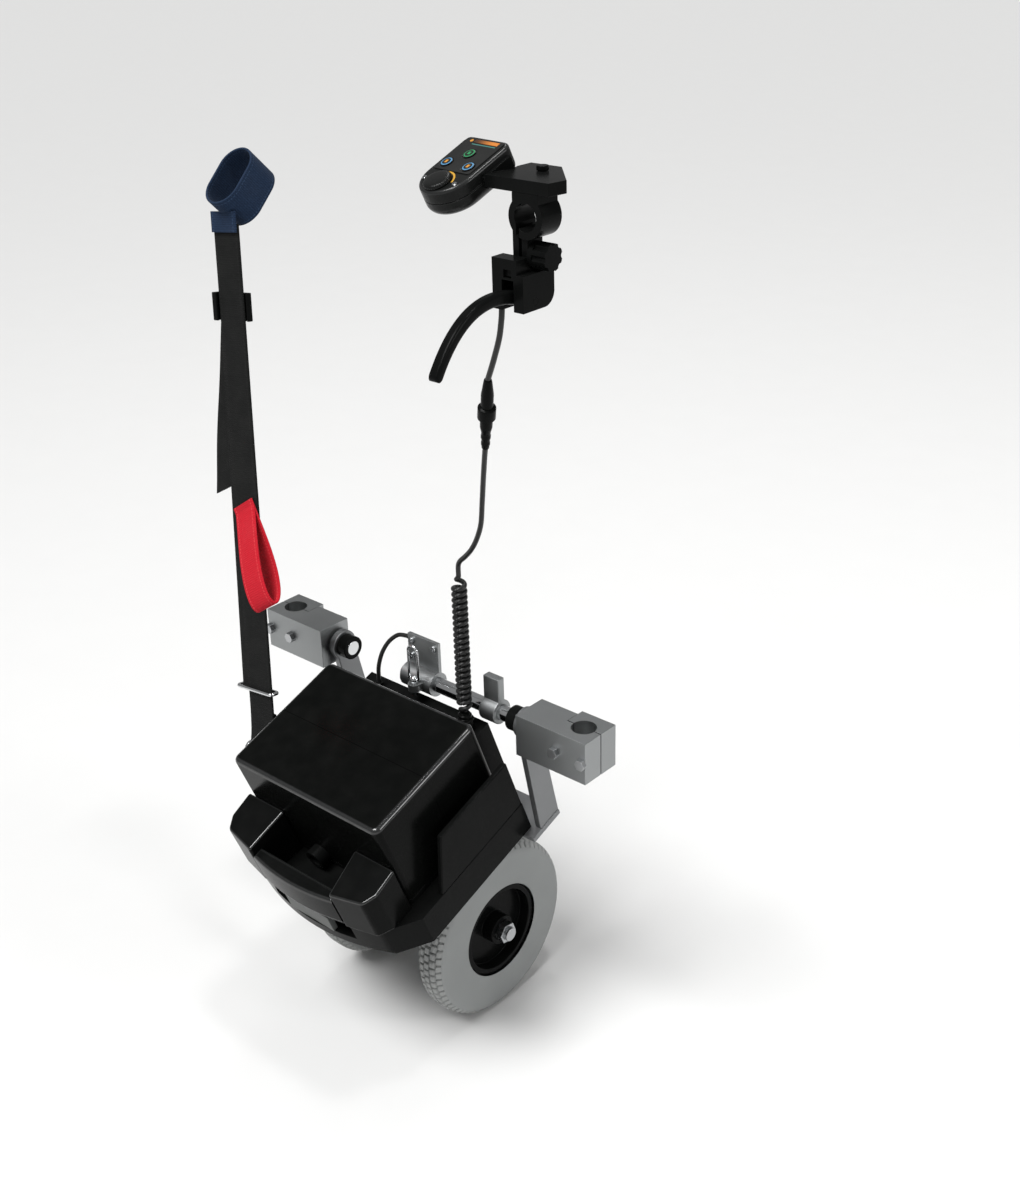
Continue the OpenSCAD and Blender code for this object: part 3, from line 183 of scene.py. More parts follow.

# The edge mask is the edge attribute times a patchy 2.4 x noise + 0.5. It marks wear, and on the
# black plastics also a painted highlight.
wear_and_highlight, given, result = effect("edge wear", ["Amount"], ["Mask"])
place = add(wear_and_highlight, "TexCoord").outputs["Object"]
edge_patches = add(wear_and_highlight, "TexNoise", Vector=place, Scale=160.0, Detail=4.0).outputs["Fac"]
edge = add(wear_and_highlight, "Attribute", {"attribute_name": "edge"}).outputs["Fac"]
patchy = sums(wear_and_highlight, "MULTIPLY_ADD", edge_patches, 2.4, 0.5)
spots = sums(wear_and_highlight, "MULTIPLY", edge, patchy, clamp=True)
wear_and_highlight.links.new(sums(wear_and_highlight, "MULTIPLY", spots, given.outputs["Amount"]), result.inputs["Mask"])

# Dust is a squared noise, more of it where the face looks up.
dust, given, result = effect("settled dust", ["Amount"], ["Mask"])
place = add(dust, "TexCoord").outputs["Object"]
cloud = add(dust, "TexNoise", Vector=place, Scale=55.0, Detail=5.0).outputs["Fac"]
facing = add(dust, "SeparateXYZ", Vector=add(dust, "NewGeometry").outputs["Normal"]).outputs["Z"]
upward_share = sums(dust, "MULTIPLY_ADD", facing, 0.6, 0.5)
settled = sums(dust, "MULTIPLY", sums(dust, "MULTIPLY", cloud, cloud), upward_share, clamp=True)
dust.links.new(sums(dust, "MULTIPLY", settled, given.outputs["Amount"]), result.inputs["Mask"])

# %% Weave
# Ribs and warp are sines along and over the strap; a stitch is a dash on the seam line.
stitch_half, stitch_wave, stitch_gap = 0.00045, 1800.0, -0.35
weave, given, result = effect("webbing weave", ["Rib", "Warp", "Seam"],
                              ["Height", "Tone", "Stitch"])
strand = add(weave, "SeparateXYZ", Vector=add(weave, "UVMap").outputs["UV"]).outputs
ribs = sums(weave, "SINE", sums(weave, "MULTIPLY", strand["X"], given.outputs["Rib"]))
warp = sums(weave, "SINE", sums(weave, "MULTIPLY", strand["Y"], given.outputs["Warp"]))
both = sums(weave, "MULTIPLY_ADD", sums(weave, "MULTIPLY", ribs, warp), 0.25, 0.5)
height = sums(weave, "MULTIPLY_ADD", ribs, 0.22, both)
weave.links.new(height, result.inputs["Height"])
place = add(weave, "TexCoord").outputs["Object"]
fibre = add(weave, "TexNoise", Vector=place, Scale=420.0, Detail=3.0).outputs["Fac"]
weave.links.new(sums(weave, "MULTIPLY", height, fibre), result.inputs["Tone"])
off_middle = sums(weave, "ABSOLUTE", strand["Y"])
from_seam = sums(weave, "ABSOLUTE", sums(weave, "SUBTRACT", off_middle, given.outputs["Seam"]))
on_seam = sums(weave, "LESS_THAN", from_seam, stitch_half)
wave = sums(weave, "SINE", sums(weave, "MULTIPLY", strand["X"], stitch_wave))
dash = sums(weave, "GREATER_THAN", wave, stitch_gap)
weave.links.new(sums(weave, "MULTIPLY", on_seam, dash), result.inputs["Stitch"])
print("effects", [g.name for g in bpy.data.node_groups])

# %% [markdown]
# ## Finishes
# One function paints every hard surface: a base colour that varies a little, lighter edges that are
# wear and, on the black plastics, a painted highlight, dust on top, and a bump at the scale of the
# real texture. What is the same all over, such as the metalness, is set on the shader itself. Cloth
# has its own function, because its pattern follows the strap and not the room.

# %% What all finishes share
def used(tree, group, **inputs):
    """A node group placed in a material."""
    node = tree.nodes.new("ShaderNodeGroup")
    node.node_tree = group
    for key, value in inputs.items():
        node.inputs[key].default_value = value
    return node.outputs


def started(name):
    """A new material with its node tree and its shader."""
    material = bpy.data.materials.new(name)
    material.use_nodes = True
    return material, material.node_tree, material.node_tree.nodes["Principled BSDF"]


def dusted(tree, shade, amount, colour=(0.42, 0.41, 0.39)):
    """A colour under settled dust."""
    return blended(tree, used(tree, dust, Amount=amount)["Mask"], shade, colour)


def surfaced(tree, shader, shade, tone, spread, rough, height, bump, depth=0.0004):
    """Wire a colour, a roughness of tone x spread + rough, and a bump from a height."""
    tree.links.new(shade, shader.inputs["Base Color"])
    gloss = sums(tree, "MULTIPLY_ADD", tone, spread, rough)
    tree.links.new(gloss, shader.inputs["Roughness"])
    relief = add(tree, "Bump", Strength=bump, Distance=depth, Height=height)
    tree.links.new(relief.outputs["Normal"], shader.inputs["Normal"])


# %% Hard finishes
gloss_spread, coat_roughness = 0.08, 0.15


def hard(name, colour, rough, metal=0.0, tone=0.12, speckle=1800.0, bump=0.15, worn_and_lit=None,
         amount=0.5, dusty=0.05, coat=0.0, level=0.5, gleam=0.0):
    """A moulded, cast or plated surface: colour x (1 +- tone), then lighter edges, then dust.

    The lighter edges are wear, and on the black plastics also a painted highlight. Gleam is a clear
    coat on these edges alone, which draws them as thin bright lines.
    """
    material, tree, shader = started(name)
    texture = used(tree, grain, Scale=speckle)
    dark, light = np.array(colour) * (1 - tone), np.array(colour) * (1 + tone)
    shade = blended(tree, texture["Tone"], dark, light)
    # A lighter colour on the edges: wear, and on the black plastics also a painted highlight.
    if worn_and_lit is not None:
        shade = blended(tree, used(tree, wear_and_highlight, Amount=amount)["Mask"], shade, worn_and_lit)
    if dusty:
        shade = dusted(tree, shade, dusty)
    surfaced(tree, shader, shade, texture["Tone"], gloss_spread, rough - gloss_spread / 2,
             texture["Height"], bump)
    shader.inputs["Metallic"].default_value = metal
    shader.inputs["Specular IOR Level"].default_value = level
    shader.inputs["Coat Weight"].default_value = coat
    shader.inputs["Coat Roughness"].default_value = coat_roughness
    if gleam:
        tree.links.new(used(tree, wear_and_highlight, Amount=gleam)["Mask"], shader.inputs["Coat Weight"])
    return material


# %% Table of hard finishes
# In a row: colour, roughness, metalness, tone, speckle, bump, then worn and lit edge colour, its
# amount and dust. On the black plastics, the handset and the case that edge colour is partly wear
# and partly a painted highlight.
finish = {
    "chrome": hard("chrome", (0.66, 0.67, 0.68), 0.12, 1.0, 0.05, 300.0, 0.02, dusty=0.03),
    "aluminium": hard("aluminium", (0.30, 0.31, 0.313), 0.42, 1.0, 0.09, 2600.0, 0.12,
                      (0.5, 0.5, 0.51)),
    "grey_alloy": hard("cast alloy", (0.22, 0.225, 0.23), 0.50, 1.0, 0.10, 1500.0, 0.25,
                       dusty=0.08),
    "steel": hard("zinc steel", (0.44, 0.45, 0.46), 0.28, 1.0, 0.10, 900.0, 0.06),
    # Black plastic, handset and case: the lighter edge colour is partly wear and partly a painted
    # highlight.
    "black_plastic": hard("black plastic", (0.0036, 0.0039, 0.0038), 0.23, 0.0, 0.25, 2200.0, 0.08,
                          (0.030, 0.031, 0.031), 0.35, 0.012, level=0.04, gleam=1.0),
    "latch_plastic": hard("latch plastic", (0.092, 0.097, 0.094), 0.45, 0.0, 0.12, 2200.0, 0.12,
                          level=0.2),
    "handset_plastic": hard("handset plastic", (0.0065, 0.0070, 0.0068), 0.27, 0.0, 0.2, 2600.0,
                            0.08, (0.04, 0.041, 0.041), 0.3, 0.02, level=0.12, gleam=0.2),
    "case_plastic": hard("case plastic", (0.0026, 0.0029, 0.0027), 0.20, 0.0, 0.25, 2400.0, 0.03,
                         (0.040, 0.041, 0.042), 0.35, 0.010, level=0.04, gleam=1.0),
    "orange_lens": hard("orange lens", (0.52, 0.17, 0.02), 0.25, 0.0, 0.12, 800.0, 0.03,
                        coat=0.3, level=0.3),
    "board": hard("circuit board", (0.03, 0.16, 0.07), 0.45, 0.0, 0.1, 700.0, 0.1),
    "motor_paint": hard("motor enamel", (0.016, 0.016, 0.018), 0.35, 0.0, 0.15, 900.0, 0.08,
                        level=0.4),
    "rotor_steel": hard("rotor steel", (0.5, 0.42, 0.34), 0.4, 1.0, 0.1, 900.0, 0.1),
    "battery_case": hard("battery block", (0.05, 0.055, 0.06), 0.5, 0.0, 0.1, 900.0, 0.1),
    "brass": hard("brass", (0.72, 0.55, 0.25), 0.3, 1.0, 0.06, 900.0, 0.05),
    "tyre": hard("grey tyre", (0.270, 0.280, 0.278), 0.74, 0.0, 0.12, 1300.0, 0.25,
                 (0.33, 0.335, 0.33), 0.6, 0.14, level=0.2),
    "cable_rubber": hard("cable rubber", (0.0070, 0.0073, 0.0073), 0.36, 0.0, 0.15, 2600.0, 0.06,
                         dusty=0.04, level=0.35),
}
print("hard finishes", len(finish))

# %% [markdown]
# The battery case has a parting line across its middle. It is a fine groove in the real shell,
# so here it is a thin dark line in the colour. A modelled groove would need a cut mesh, and the
# line is less than a millimetre wide. A Mapping node turns the room into the tilted case.

# %% Parting line of the case
unit_tilt, line_depth, line_half, line_colour = 20.4, 0.114, 0.0004, (0.0015, 0.0015, 0.0015)


def painted(tree):
    """A material's colour input and the socket that feeds it so far."""
    colour = tree.nodes["Principled BSDF"].inputs["Base Color"]
    return colour, colour.links[0].from_socket


tree = finish["case_plastic"].node_tree
tilted = add(tree, "Mapping", Vector=add(tree, "TexCoord").outputs["Object"],
             Rotation=(-np.radians(unit_tilt), 0, 0))
depth_in = add(tree, "SeparateXYZ", Vector=tilted.outputs["Vector"]).outputs["Y"]
off_line = sums(tree, "ABSOLUTE", sums(tree, "ADD", depth_in, line_depth))
line = sums(tree, "LESS_THAN", off_line, line_half)
colour, plain = painted(tree)
tree.links.new(blended(tree, line, plain, line_colour), colour)

# %% [markdown]
# The status lens is a smoked orange window that is clearer towards its right end. A ramp along X
# mixes the smoked colour into the clear one; a second material would leave a hard step.

# %% Status lens
smoked_to, clear_from, smoked = 0.141, 0.163, (0.05, 0.018, 0.006)
tree = finish["orange_lens"].node_tree
lens_x = add(tree, "SeparateXYZ", Vector=add(tree, "TexCoord").outputs["Object"]).outputs["X"]
clear = add(tree, "MapRange", {"interpolation_type": "SMOOTHSTEP"},
            **{"Value": lens_x, "From Min": smoked_to, "From Max": clear_from})
colour, plain = painted(tree)
tree.links.new(blended(tree, clear.outputs["Result"], smoked, plain), colour)

# %% [markdown]
# The keypad and its buttons are printed films. Their colours are kept on the points of the mesh.

# %% Printed films
def printed(name, rough):
    """A glossy film whose colours are painted on its points as the attribute print."""
    material, tree, shader = started(name)
    texture = used(tree, grain, Scale=3000.0)
    ink = add(tree, "Attribute", {"attribute_name": "print"}).outputs["Color"]
    shade = blended(tree, sums(tree, "MULTIPLY", texture["Tone"], 0.05), ink, (0.2, 0.2, 0.2))
    surfaced(tree, shader, dusted(tree, shade, 0.03), texture["Tone"], 0.1, rough,
             texture["Height"], 0.06)
    shader.inputs["Specular IOR Level"].default_value = 0.12
    return material


finish["keypad_film"] = printed("keypad film", 0.24)
finish["green_button"] = printed("green ringed button", 0.26)
finish["blue_button"] = printed("blue ringed button", 0.26)
print("hard and printed finishes", len(finish))

# %% [markdown]
# Webbing is woven across and along, and sewn near its edges. An image would need a picture file,
# so the weave is worked out from the strap's own UV map, which is its length and width in metres.

# %% Cloth finishes
rib_pitch, warp_pitch = 2.2, 2.6


def cloth(name, colour, light, thread, seam=15.5):
    """Ribbed webbing: ribs across it, warp along it, and stitches at seam mm from its middle."""
    material, tree, shader = started(name)
    woven = used(tree, weave, Rib=2000 * np.pi / rib_pitch, Warp=2000 * np.pi / warp_pitch,
                 Seam=seam * MM)
    shade = blended(tree, woven["Tone"], colour, light)
    shade = blended(tree, woven["Stitch"], shade, thread)
    shade = dusted(tree, shade, 0.04, (0.4, 0.39, 0.37))
    raised = sums(tree, "ADD", woven["Height"], woven["Stitch"])
    surfaced(tree, shader, shade, woven["Tone"], -0.15, 0.82, raised, 0.6, 0.0006)
    shader.inputs["Sheen Weight"].default_value = 0.02
    shader.inputs["Specular IOR Level"].default_value = 0.1
    return material


finish["black_webbing"] = cloth("black webbing", (0.0028, 0.0031, 0.0030),
                                (0.0125, 0.0133, 0.0129), (0.012, 0.012, 0.012))
finish["blue_webbing"] = cloth("blue webbing", (0.006, 0.014, 0.034),
                               (0.021, 0.046, 0.098), (0.025, 0.05, 0.1))
finish["red_webbing"] = cloth("red webbing", (0.42, 0.006, 0.016),
                              (0.66, 0.018, 0.034), (0.75, 0.06, 0.07), seam=13.5)
print("finishes", len(finish))

# %% [markdown]
# ## Floor
# The floor is one wide pale square at the height of the tyres' lowest point. It only catches the
# shadow and is not a part of the object.

# %% Floor
span, floor_z = 14.0, -0.368
floor_corners = [(-span, -span), (span, -span), (span, span), (-span, span)]
ground = bpy.data.meshes.new("floor")
ground.from_pydata([(x, y, floor_z) for x, y in floor_corners], [], [(0, 1, 2, 3)])
ground.materials.append(hard("pale floor", (0.72, 0.72, 0.715), 0.8, 0.0, 0.01, 400.0, 0.02,
                             dusty=0.0, level=0.2))
floor = bpy.data.objects.new("floor", ground)
bpy.context.collection.objects.link(floor)
print("floor at", floor_z)

# %% [markdown]
# ## Surfaces from numbers
# Every new piece is a grid of points that comes out of a formula: a profile carried along a
# path, an outline drawn in towards its top, or a profile turned round an axis. Blender could do
# this with its own tools, but one array of points is exact and easy to change. Sizes are in
# millimetres, as in the CAD source, and a frame function turns them into metres in their place.

# %% Grids and pieces
def grid(points, wrap_rows=False, uv=None, edge=0.0, caps=True):
    """A skin on points[row, column]: a quad between each four neighbours, a lid on the end rows.

    Columns run round the shape and close, rows run along it, so that round x along points outwards.
    """
    rows, columns = points.shape[:2]
    i = np.arange(rows - (not wrap_rows))[:, None]
    j = np.arange(columns)[None, :]
    ring = [(0, 0), (0, 1), (1, 1), (1, 0)]
    quads = np.stack([((i + a) % rows) * columns + (j + b) % columns for a, b in ring], -1)
    lids = []
    if caps and not wrap_rows:
        lids = [np.arange(columns)[::-1], np.arange(columns) + (rows - 1) * columns]
    corners = np.zeros((quads.size, 2))
    if uv is not None:
        corners = np.stack([uv[i + a, j + b] for a, b in ring], 2).reshape(-1, 2)
    corners = np.concatenate([corners, np.zeros((sum(map(len, lids)), 2))])
    return {"points": points.reshape(-1, 3), "uv": corners,
            "faces": quads.reshape(-1, 4).tolist() + [lid.tolist() for lid in lids],
            "edge": np.broadcast_to(edge, (rows, columns)).ravel()}


def build(name, skins, body, slot, *stands_for, paint=None, sharp=40):
    """One Blender object from several skins, riding on a body and standing for CAD nodes."""
    starts = np.cumsum([0] + [len(s["points"]) for s in skins])
    faces = [[k + start for k in face] for s, start in zip(skins, starts) for face in s["faces"]]
    points, uv, worn_and_lit = (np.concatenate([s[key] for s in skins]) for key in ("points", "uv", "edge"))
    mesh = bpy.data.meshes.new(name)
    mesh.from_pydata(points.tolist(), [], faces)
    layer = mesh.uv_layers.new(name="UVMap")
    layer.uv.foreach_set("vector", uv.astype(np.float32).ravel())
    layer = mesh.attributes.new("edge", "FLOAT", "POINT")
    layer.data.foreach_set("value", worn_and_lit.astype(np.float32))
    if all("print" in s for s in skins):
        ink = np.concatenate([s["print"] for s in skins])
        ink = np.column_stack([ink, np.ones(len(ink))])
        layer = mesh.attributes.new("print", "FLOAT_COLOR", "POINT")
        layer.data.foreach_set("color", ink.astype(np.float32).ravel())
    mesh.shade_smooth()
    mesh.set_sharp_from_angle(angle=np.radians(sharp))
    mesh.materials.append(finish[paint or slot])
    piece = bpy.data.objects.new(name, mesh)
    bpy.context.collection.objects.link(piece)
    piece.modifiers.new("even shading", "WEIGHTED_NORMAL").keep_sharp = True
    if body:
        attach(piece, body)
    if stands_for:
        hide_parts(*stands_for)
    print(name, len(mesh.polygons), "faces")
    return piece


# %% Frames of the object
X, Y, Z = range(3)


def spin(axis, degrees):
    """The matrix of a turn about an axis: cosines on the other two axes, sines across them."""
    c, s = np.cos(np.radians(degrees)), np.sin(np.radians(degrees))
    matrix, i, j = np.eye(3), (axis + 1) % 3, (axis + 2) % 3
    matrix[i, i] = matrix[j, j] = c
    matrix[i, j], matrix[j, i] = -s, s
    return matrix


def room(points):
    """Millimetres in the room, in metres."""
    return np.asarray(points, float) * MM


def unit(points):
    """The drive unit's frame, tilted about the bar."""
    return room(points @ spin(X, unit_tilt).T)


pad_turn, pad_place = spin(Z, -7) @ spin(X, 25), [148, -70, 558]


def pad(points):
    """The handset's frame: X across, Y up its face, Z out of its face."""
    return room(points @ pad_turn.T + pad_place)


strap_top = np.array([-216, -29, 452.0])
strap_foot = np.array([-147, -107.64, -94.98])
strap_length = np.linalg.norm(strap_top - strap_foot)
strap_way = (strap_top - strap_foot) / strap_length
strap_swing = spin(Y, np.degrees(np.arctan2(strap_way[0], strap_way[2])))
strap_turn = strap_swing @ spin(X, -np.degrees(np.arcsin(strap_way[1])))


def strap_frame(points):
    """The strap's frame: X across it, Y to its front, Z up it from its top end."""
    return room(points @ strap_turn.T + strap_top)


# %% Paths
def smooth(knots, steps):
    """A Catmull-Rom curve: a cubic between each two knots that heads for the next but one."""
    p = np.concatenate([knots[:1], knots, knots[-1:]])
    t = (np.arange(steps) / steps)[None, :, None]
    a, b, c, d = (p[k:len(p) - 3 + k, None] for k in range(4))
    curve = 0.5 * (2 * b + (c - a) * t + (2 * a - 5 * b + 4 * c - d) * t**2
                   + (3 * b - a - 3 * c + d) * t**3)
    return np.concatenate([curve.reshape(-1, 3), knots[-1:]])


def length_of(path):
    """The length of a path, in metres: the sum of its steps."""
    return float(np.linalg.norm(np.diff(path, axis=0), axis=-1).sum() * MM)


def unit_rows(v):
    """Each row divided by its length."""
    return v / np.linalg.norm(v, axis=-1, keepdims=True)


def carried(path, profile, across, frame_of=room, wrap=False):
    """The skin of a profile (a, b) carried along a path: path + a*side + b*(way x side).

    Way is the path's direction, and side the direction square to it that is nearest to across.
    """
    steps = np.roll(path, -1, 0) - np.roll(path, 1, 0) if wrap else np.gradient(path, axis=0)
    way = unit_rows(steps)
    side = np.broadcast_to(np.asarray(across, float), path.shape)
    side = unit_rows(side - (side * way).sum(-1, keepdims=True) * way)
    other = np.cross(way, side)
    profile = np.broadcast_to(profile, (len(path), *profile.shape[-2:]))
    points = path[:, None] + profile[..., :1] * side[:, None] + profile[..., 1:] * other[:, None]
    gone = np.cumsum(np.linalg.norm(np.diff(path, axis=0, append=path[:1]), axis=-1))
    along = np.concatenate([[0], gone])[:len(path) + wrap, None] * MM
    over = np.concatenate([profile[0, :, 0], profile[0, :1, 0]])[None] * MM
    uv = np.stack(np.broadcast_arrays(along, over), -1)
    return grid(frame_of(points), wrap_rows=wrap, uv=uv)


# %% Round and turned shapes
def angles(count):
    """Angles that part a full turn evenly."""
    return 2 * np.pi * np.arange(count) / count


def circle(radius, sides):
    """Points round a circle; a row of radii gives a row of circles."""
    a = angles(sides)
    return np.asarray(radius, float)[..., None, None] * np.stack([np.cos(a), np.sin(a)], -1)


def lathe(profile, sides, wobble=None):
    """A profile of (radius, height) turned round Z; wobble scales the radius by row and angle."""
    a = angles(sides)
    r, z = (np.asarray(profile, float)[:, k:k + 1] * np.ones(sides) for k in range(2))
    if wobble is not None:
        r = r * wobble(a)
    return np.stack([r * np.cos(a), r * np.sin(a), z], -1)


# %% Outlines and moulded bodies
def rounded(corners, radii, steps):
    """A polygon with arcs for corners: each arc swings the normal from one side to the next."""
    p = np.asarray(corners, float)
    r = np.broadcast_to(np.asarray(radii, float), len(p))[:, None]
    into = unit_rows(p - np.roll(p, 1, 0))
    out = np.roll(into, -1, 0)
    a, b = (np.stack([d[:, 1], -d[:, 0]], -1) for d in (into, out))
    bend = np.sign(into[:, :1] * out[:, 1:] - into[:, 1:] * out[:, :1])
    cosine = (a * b).sum(-1, keepdims=True)
    centre = p - bend * r * (a + b) / (1 + cosine)
    angle = np.arccos(np.clip(cosine, -1, 1))[:, None]
    t = np.linspace(0, 1, steps + 1)[None, :, None]
    normal = np.sin((1 - t) * angle) * a[:, None] + np.sin(t * angle) * b[:, None]
    normal = normal / np.sin(angle)
    return (centre[:, None] + bend[:, None] * r[:, None] * normal).reshape(-1, 2)


def box_outline(x0, x1, y0, y1, r, steps):
    """A rectangle with round corners."""
    return rounded([(x1, y0), (x1, y1), (x0, y1), (x0, y0)], r, steps)


def moulded(outline, low, high, foot, crown, steps, frame_of, tilt=None):
    """The skin of an outline carried up, drawn in by a quarter circle at its foot and crown.

    Point = outline - inset * normal. Tilt adds a height that depends on the depth. The edge
    attribute is 1 in the middle of each quarter circle and 0 on the flat faces.
    """
    edge = np.roll(outline, -1, 0) - outline
    after = unit_rows(np.stack([edge[:, 1], -edge[:, 0]], -1))
    before = np.roll(after, 1, 0)
    normal = (before + after) / (1 + (before * after).sum(-1, keepdims=True))
    q = np.linspace(0, np.pi / 2, steps + 1)
    inset = np.concatenate([foot * (1 - np.sin(q)), crown * (1 - np.cos(q))])
    z = np.concatenate([low + foot * (1 - np.cos(q)), high - crown * (1 - np.sin(q))])
    flat = outline[None] - inset[:, None, None] * normal[None]
    height = np.broadcast_to(z[:, None], flat.shape[:2])
    if tilt is not None:
        in_crown = (np.arange(len(z)) > steps)[:, None]
        height = height + in_crown * tilt(flat[..., 1])
    bent = np.concatenate([np.sin(2 * q), np.sin(2 * q)])[:, None]
    return grid(frame_of(np.concatenate([flat, height[..., None]], -1)), edge=bent)


# %% [markdown]
# ## Cords
# The handset's cable leaves the throttle housing, passes a small in-line connector and hangs
# down to the curly part, which stretches when the unit swings up. A curve with a bevel would do
# for the thin part, but the curls need a helix that grows out of its own axis, so the whole
# cable is a circle carried along a computed path.

# %% Thin cable and its connector
cable_radius = 2.5
upper_route = smooth(np.array([[195, -88, 448.2], [194, -88, 438], [190, -87, 422],
                               [180, -84, 400], [170.26, -80.22, 382.72]]), 8)
upper_cable = build("upper_cable", [carried(upper_route, circle(cable_radius, 14), (1, 0, 0))],
                    "chair_side", "cable_rubber", "thin_cable")
connector_low, connector_high = np.array([144, -58, 310.0]), np.array([170, -80, 382.0])
share, girth = np.array([
    (0, 3.4), (.04, 3.5), (.05, 4.0), (.09, 4.0), (.10, 3.7), (.14, 3.8), (.15, 4.4), (.19, 4.4),
    (.20, 4.1), (.24, 4.2), (.30, 5.2), (.32, 5.5), (.44, 5.5), (.45, 7.4), (.46, 8), (.60, 8),
    (.61, 7.4), (.62, 5.5), (.80, 5.5), (.97, 3.8), (1, 3.3)]).T
connector_line = connector_low + share[:, None] * (connector_high - connector_low)
connector = build("inline_connector", [carried(connector_line, circle(girth, 28), (1, 0, 0))],
                  "chair_side", "cable_rubber", "connector", paint="black_plastic")
print("upper cable", round(length_of(upper_route), 3), "m")

# %% Route of the curly cable
# Turn counts the curls from the bottom. The first and last curl grow out of the straight cable,
# at twice the pitch.
coil_x, coil_y, coil_top = 69, -21.36, 156.72
hanging = [[143.74, -57.78, 309.28], [140, -55, 300], [130, -47, 274], [119, -38, 244],
           [110, -31, 219]]
swing_in = np.array([[32, -6, 44], [23, -4, 30], [13, -2, 19], [4, -1, 10.5], [0.5, 0, 5],
                     [0, 0, 0.8]])
lower_knots = np.concatenate([hanging, np.array([coil_x, coil_y, coil_top]) + swing_in])
curls, curl_rings, curl_radius, curl_pitch, lowest_curl = 23, 24, 5.6, 6.3, -5.78
turn = np.linspace(curls, 0, curls * curl_rings + 1)
grown = np.minimum(1, np.minimum(turn, curls - turn))
reach = curl_radius * grown**2 * (3 - 2 * grown)
climb = lowest_curl + curl_pitch * (turn + np.minimum(1, turn) + np.maximum(0, turn - curls + 1))
helix = np.stack([coil_x + reach * np.cos(2 * np.pi * turn),
                  coil_y + reach * np.sin(2 * np.pi * turn), climb], -1)
tail_in = np.array([[coil_x, coil_y, -8], [coil_x, coil_y, -11]])
lower_route = np.concatenate([smooth(lower_knots, 6), helix, tail_in])
print("lower cable", round(length_of(lower_route), 3), "m with", curls, "curls")

# %% Curly cable and plug
lower_skin = carried(lower_route, circle(cable_radius, 12), (0.9, 0.43, 0.05))
lower_cable = build("curly_cable_run", [lower_skin], None, "cable_rubber", "thin_cable",
                    "curly_cable")
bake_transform(lower_cable)
plug_profile = [(0.1, -15.6), (6.4, -15.6), (7, -15), (7, -8), (6.4, -7.4), (6.4, -6.6), (7, -6),
                (7, -4), (5.6, -3), (5.4, -1.8), (4.6, -1.2), (0.1, -1.1)]
plug = build("cable_plug_boot", [grid(room(lathe(plug_profile, 32) + [coil_x, coil_y, 0]))],
             "unit", "cable_rubber", "cable_plug", paint="black_plastic")

# %% [markdown]
# A short lead joins the latch bracket to the controller box. It is held at both ends, so it hangs
# in one loose bow.

# %% Short lead
lead_radius = 2.3
lead_knots = np.array([[-31.8, 4, 40], [-36, 4, 40], [-46, 2, 38], [-54, -4, 30], [-58, -11, 18],
                       [-59, -16, 4], [-59, -17, -8], [-59, -17, -19.26]])
lead_route = smooth(lead_knots, 8)
short_lead = build("short_lead_run", [carried(lead_route, circle(lead_radius, 14), (0, 1, 0))],
                   "unit", "cable_rubber", "short_lead")

# %% [markdown]
# ## Lifting strap
# The strap is flat ribbed webbing, folded double through a slider and a steel ring, with a red
# loop to pull and a blue loop to hang it by. Cloth simulation would only make it wavy: webbing
# under load hangs straight, so a thin rounded rectangle is carried along each run.

# %% Webbing
web_half, web_thick = 19, 1.25
web_profile = box_outline(-web_half, web_half, -web_thick, web_thick, 1.1, 3)


def along_strap(s, y, x=0.0):
    """Points of the strap's frame at distances s from its top."""
    s, y, x = np.broadcast_arrays(np.asarray(s, float), y, x)
    return np.stack([x, y, -s], -1)


# The run goes down, round the post at its foot and a little way up again behind itself.
post_turn = 5.6
bend = np.linspace(0, np.pi, 17)
run_in = along_strap([505, 530, 550, strap_length], [-web_thick, -2.2, -5.0, -post_turn])
run_back = along_strap([strap_length, 548, 530, 508], [post_turn, 4.6, 2.6, 1.6])
round_post = along_strap(strap_length + post_turn * np.sin(bend), -post_turn * np.cos(bend))
run = np.concatenate([along_strap(np.linspace(2, 505, 60), -web_thick), smooth(run_in, 6)[1:-1],
                      round_post, smooth(run_back, 6)[1:]])
# The doubled length in front drifts 10 mm to the left on its way down to the ring.
fold_s = np.linspace(82, 486, 60)
fold = along_strap(fold_s, 1.55, -3 - 10 * (fold_s - 68) / 414)
strap = build("lifting_strap", [carried(path, web_profile, (1, 0, 0), strap_frame)
                                for path in (run, fold)], None, "black_webbing", "strap")
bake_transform(strap)

# %% [markdown]
# The strap's loose end hangs out of the slider, a little askew and cut on a slant. It is the same
# flat profile, with a slow wave that grows towards its end.

# %% Loose end
tail_long, tail_slant, tail_sway, tail_wave = 190, 28, 1.2, 150
share, (x, y) = np.linspace(0, 1, 40)[:, None], web_profile.T
hang = share * (tail_long - tail_slant * (x + web_half) / (2 * web_half))
wide = np.broadcast_to(x, hang.shape)
flutter = tail_sway * np.sin(2 * np.pi * hang / tail_wave) * share
flat_tail = np.stack([wide, web_thick + y + flutter + tail_sway * share, -hang], -1)
laid = flat_tail @ (spin(X, 3) @ spin(Y, 14)).T + [-8, 3.4, -103]
tail_uv = np.stack([hang, wide], -1)[:, np.r_[0:len(x), 0]] * MM
build("strap_tail", [grid(strap_frame(laid), uv=tail_uv)], "chair_side", "black_webbing", "strap")

# %% [markdown]
# The red loop is a band sewn to the strap at its top, and it hangs open like a drop. The blue one
# is an oval on the strap's upper end. Both are closed formulas, so neither needs a simulation.

# %% Pull loop
loop_front, loop_out, loop_fall, loop_turn, loop_down = -4.05, 14, 52, 27, 286


def drop(a):
    """A drop that hangs from a = 0; it falls as 1 - cos a.

    It stands off as 0.625(1 - cos a) + sin a times sin a/2 to the power 1.5.
    """
    off = loop_out * (0.625 * (1 - np.cos(a)) + np.sin(a) * np.sin(a / 2) ** 1.5)
    return along_strap(loop_fall * (1 - np.cos(a)), loop_front - off)


def askew(points):
    """The loop's frame, turned to the right about its sewn end, some way down the strap."""
    return strap_frame(points @ spin(Y, -loop_turn).T - [0, 0, loop_down])


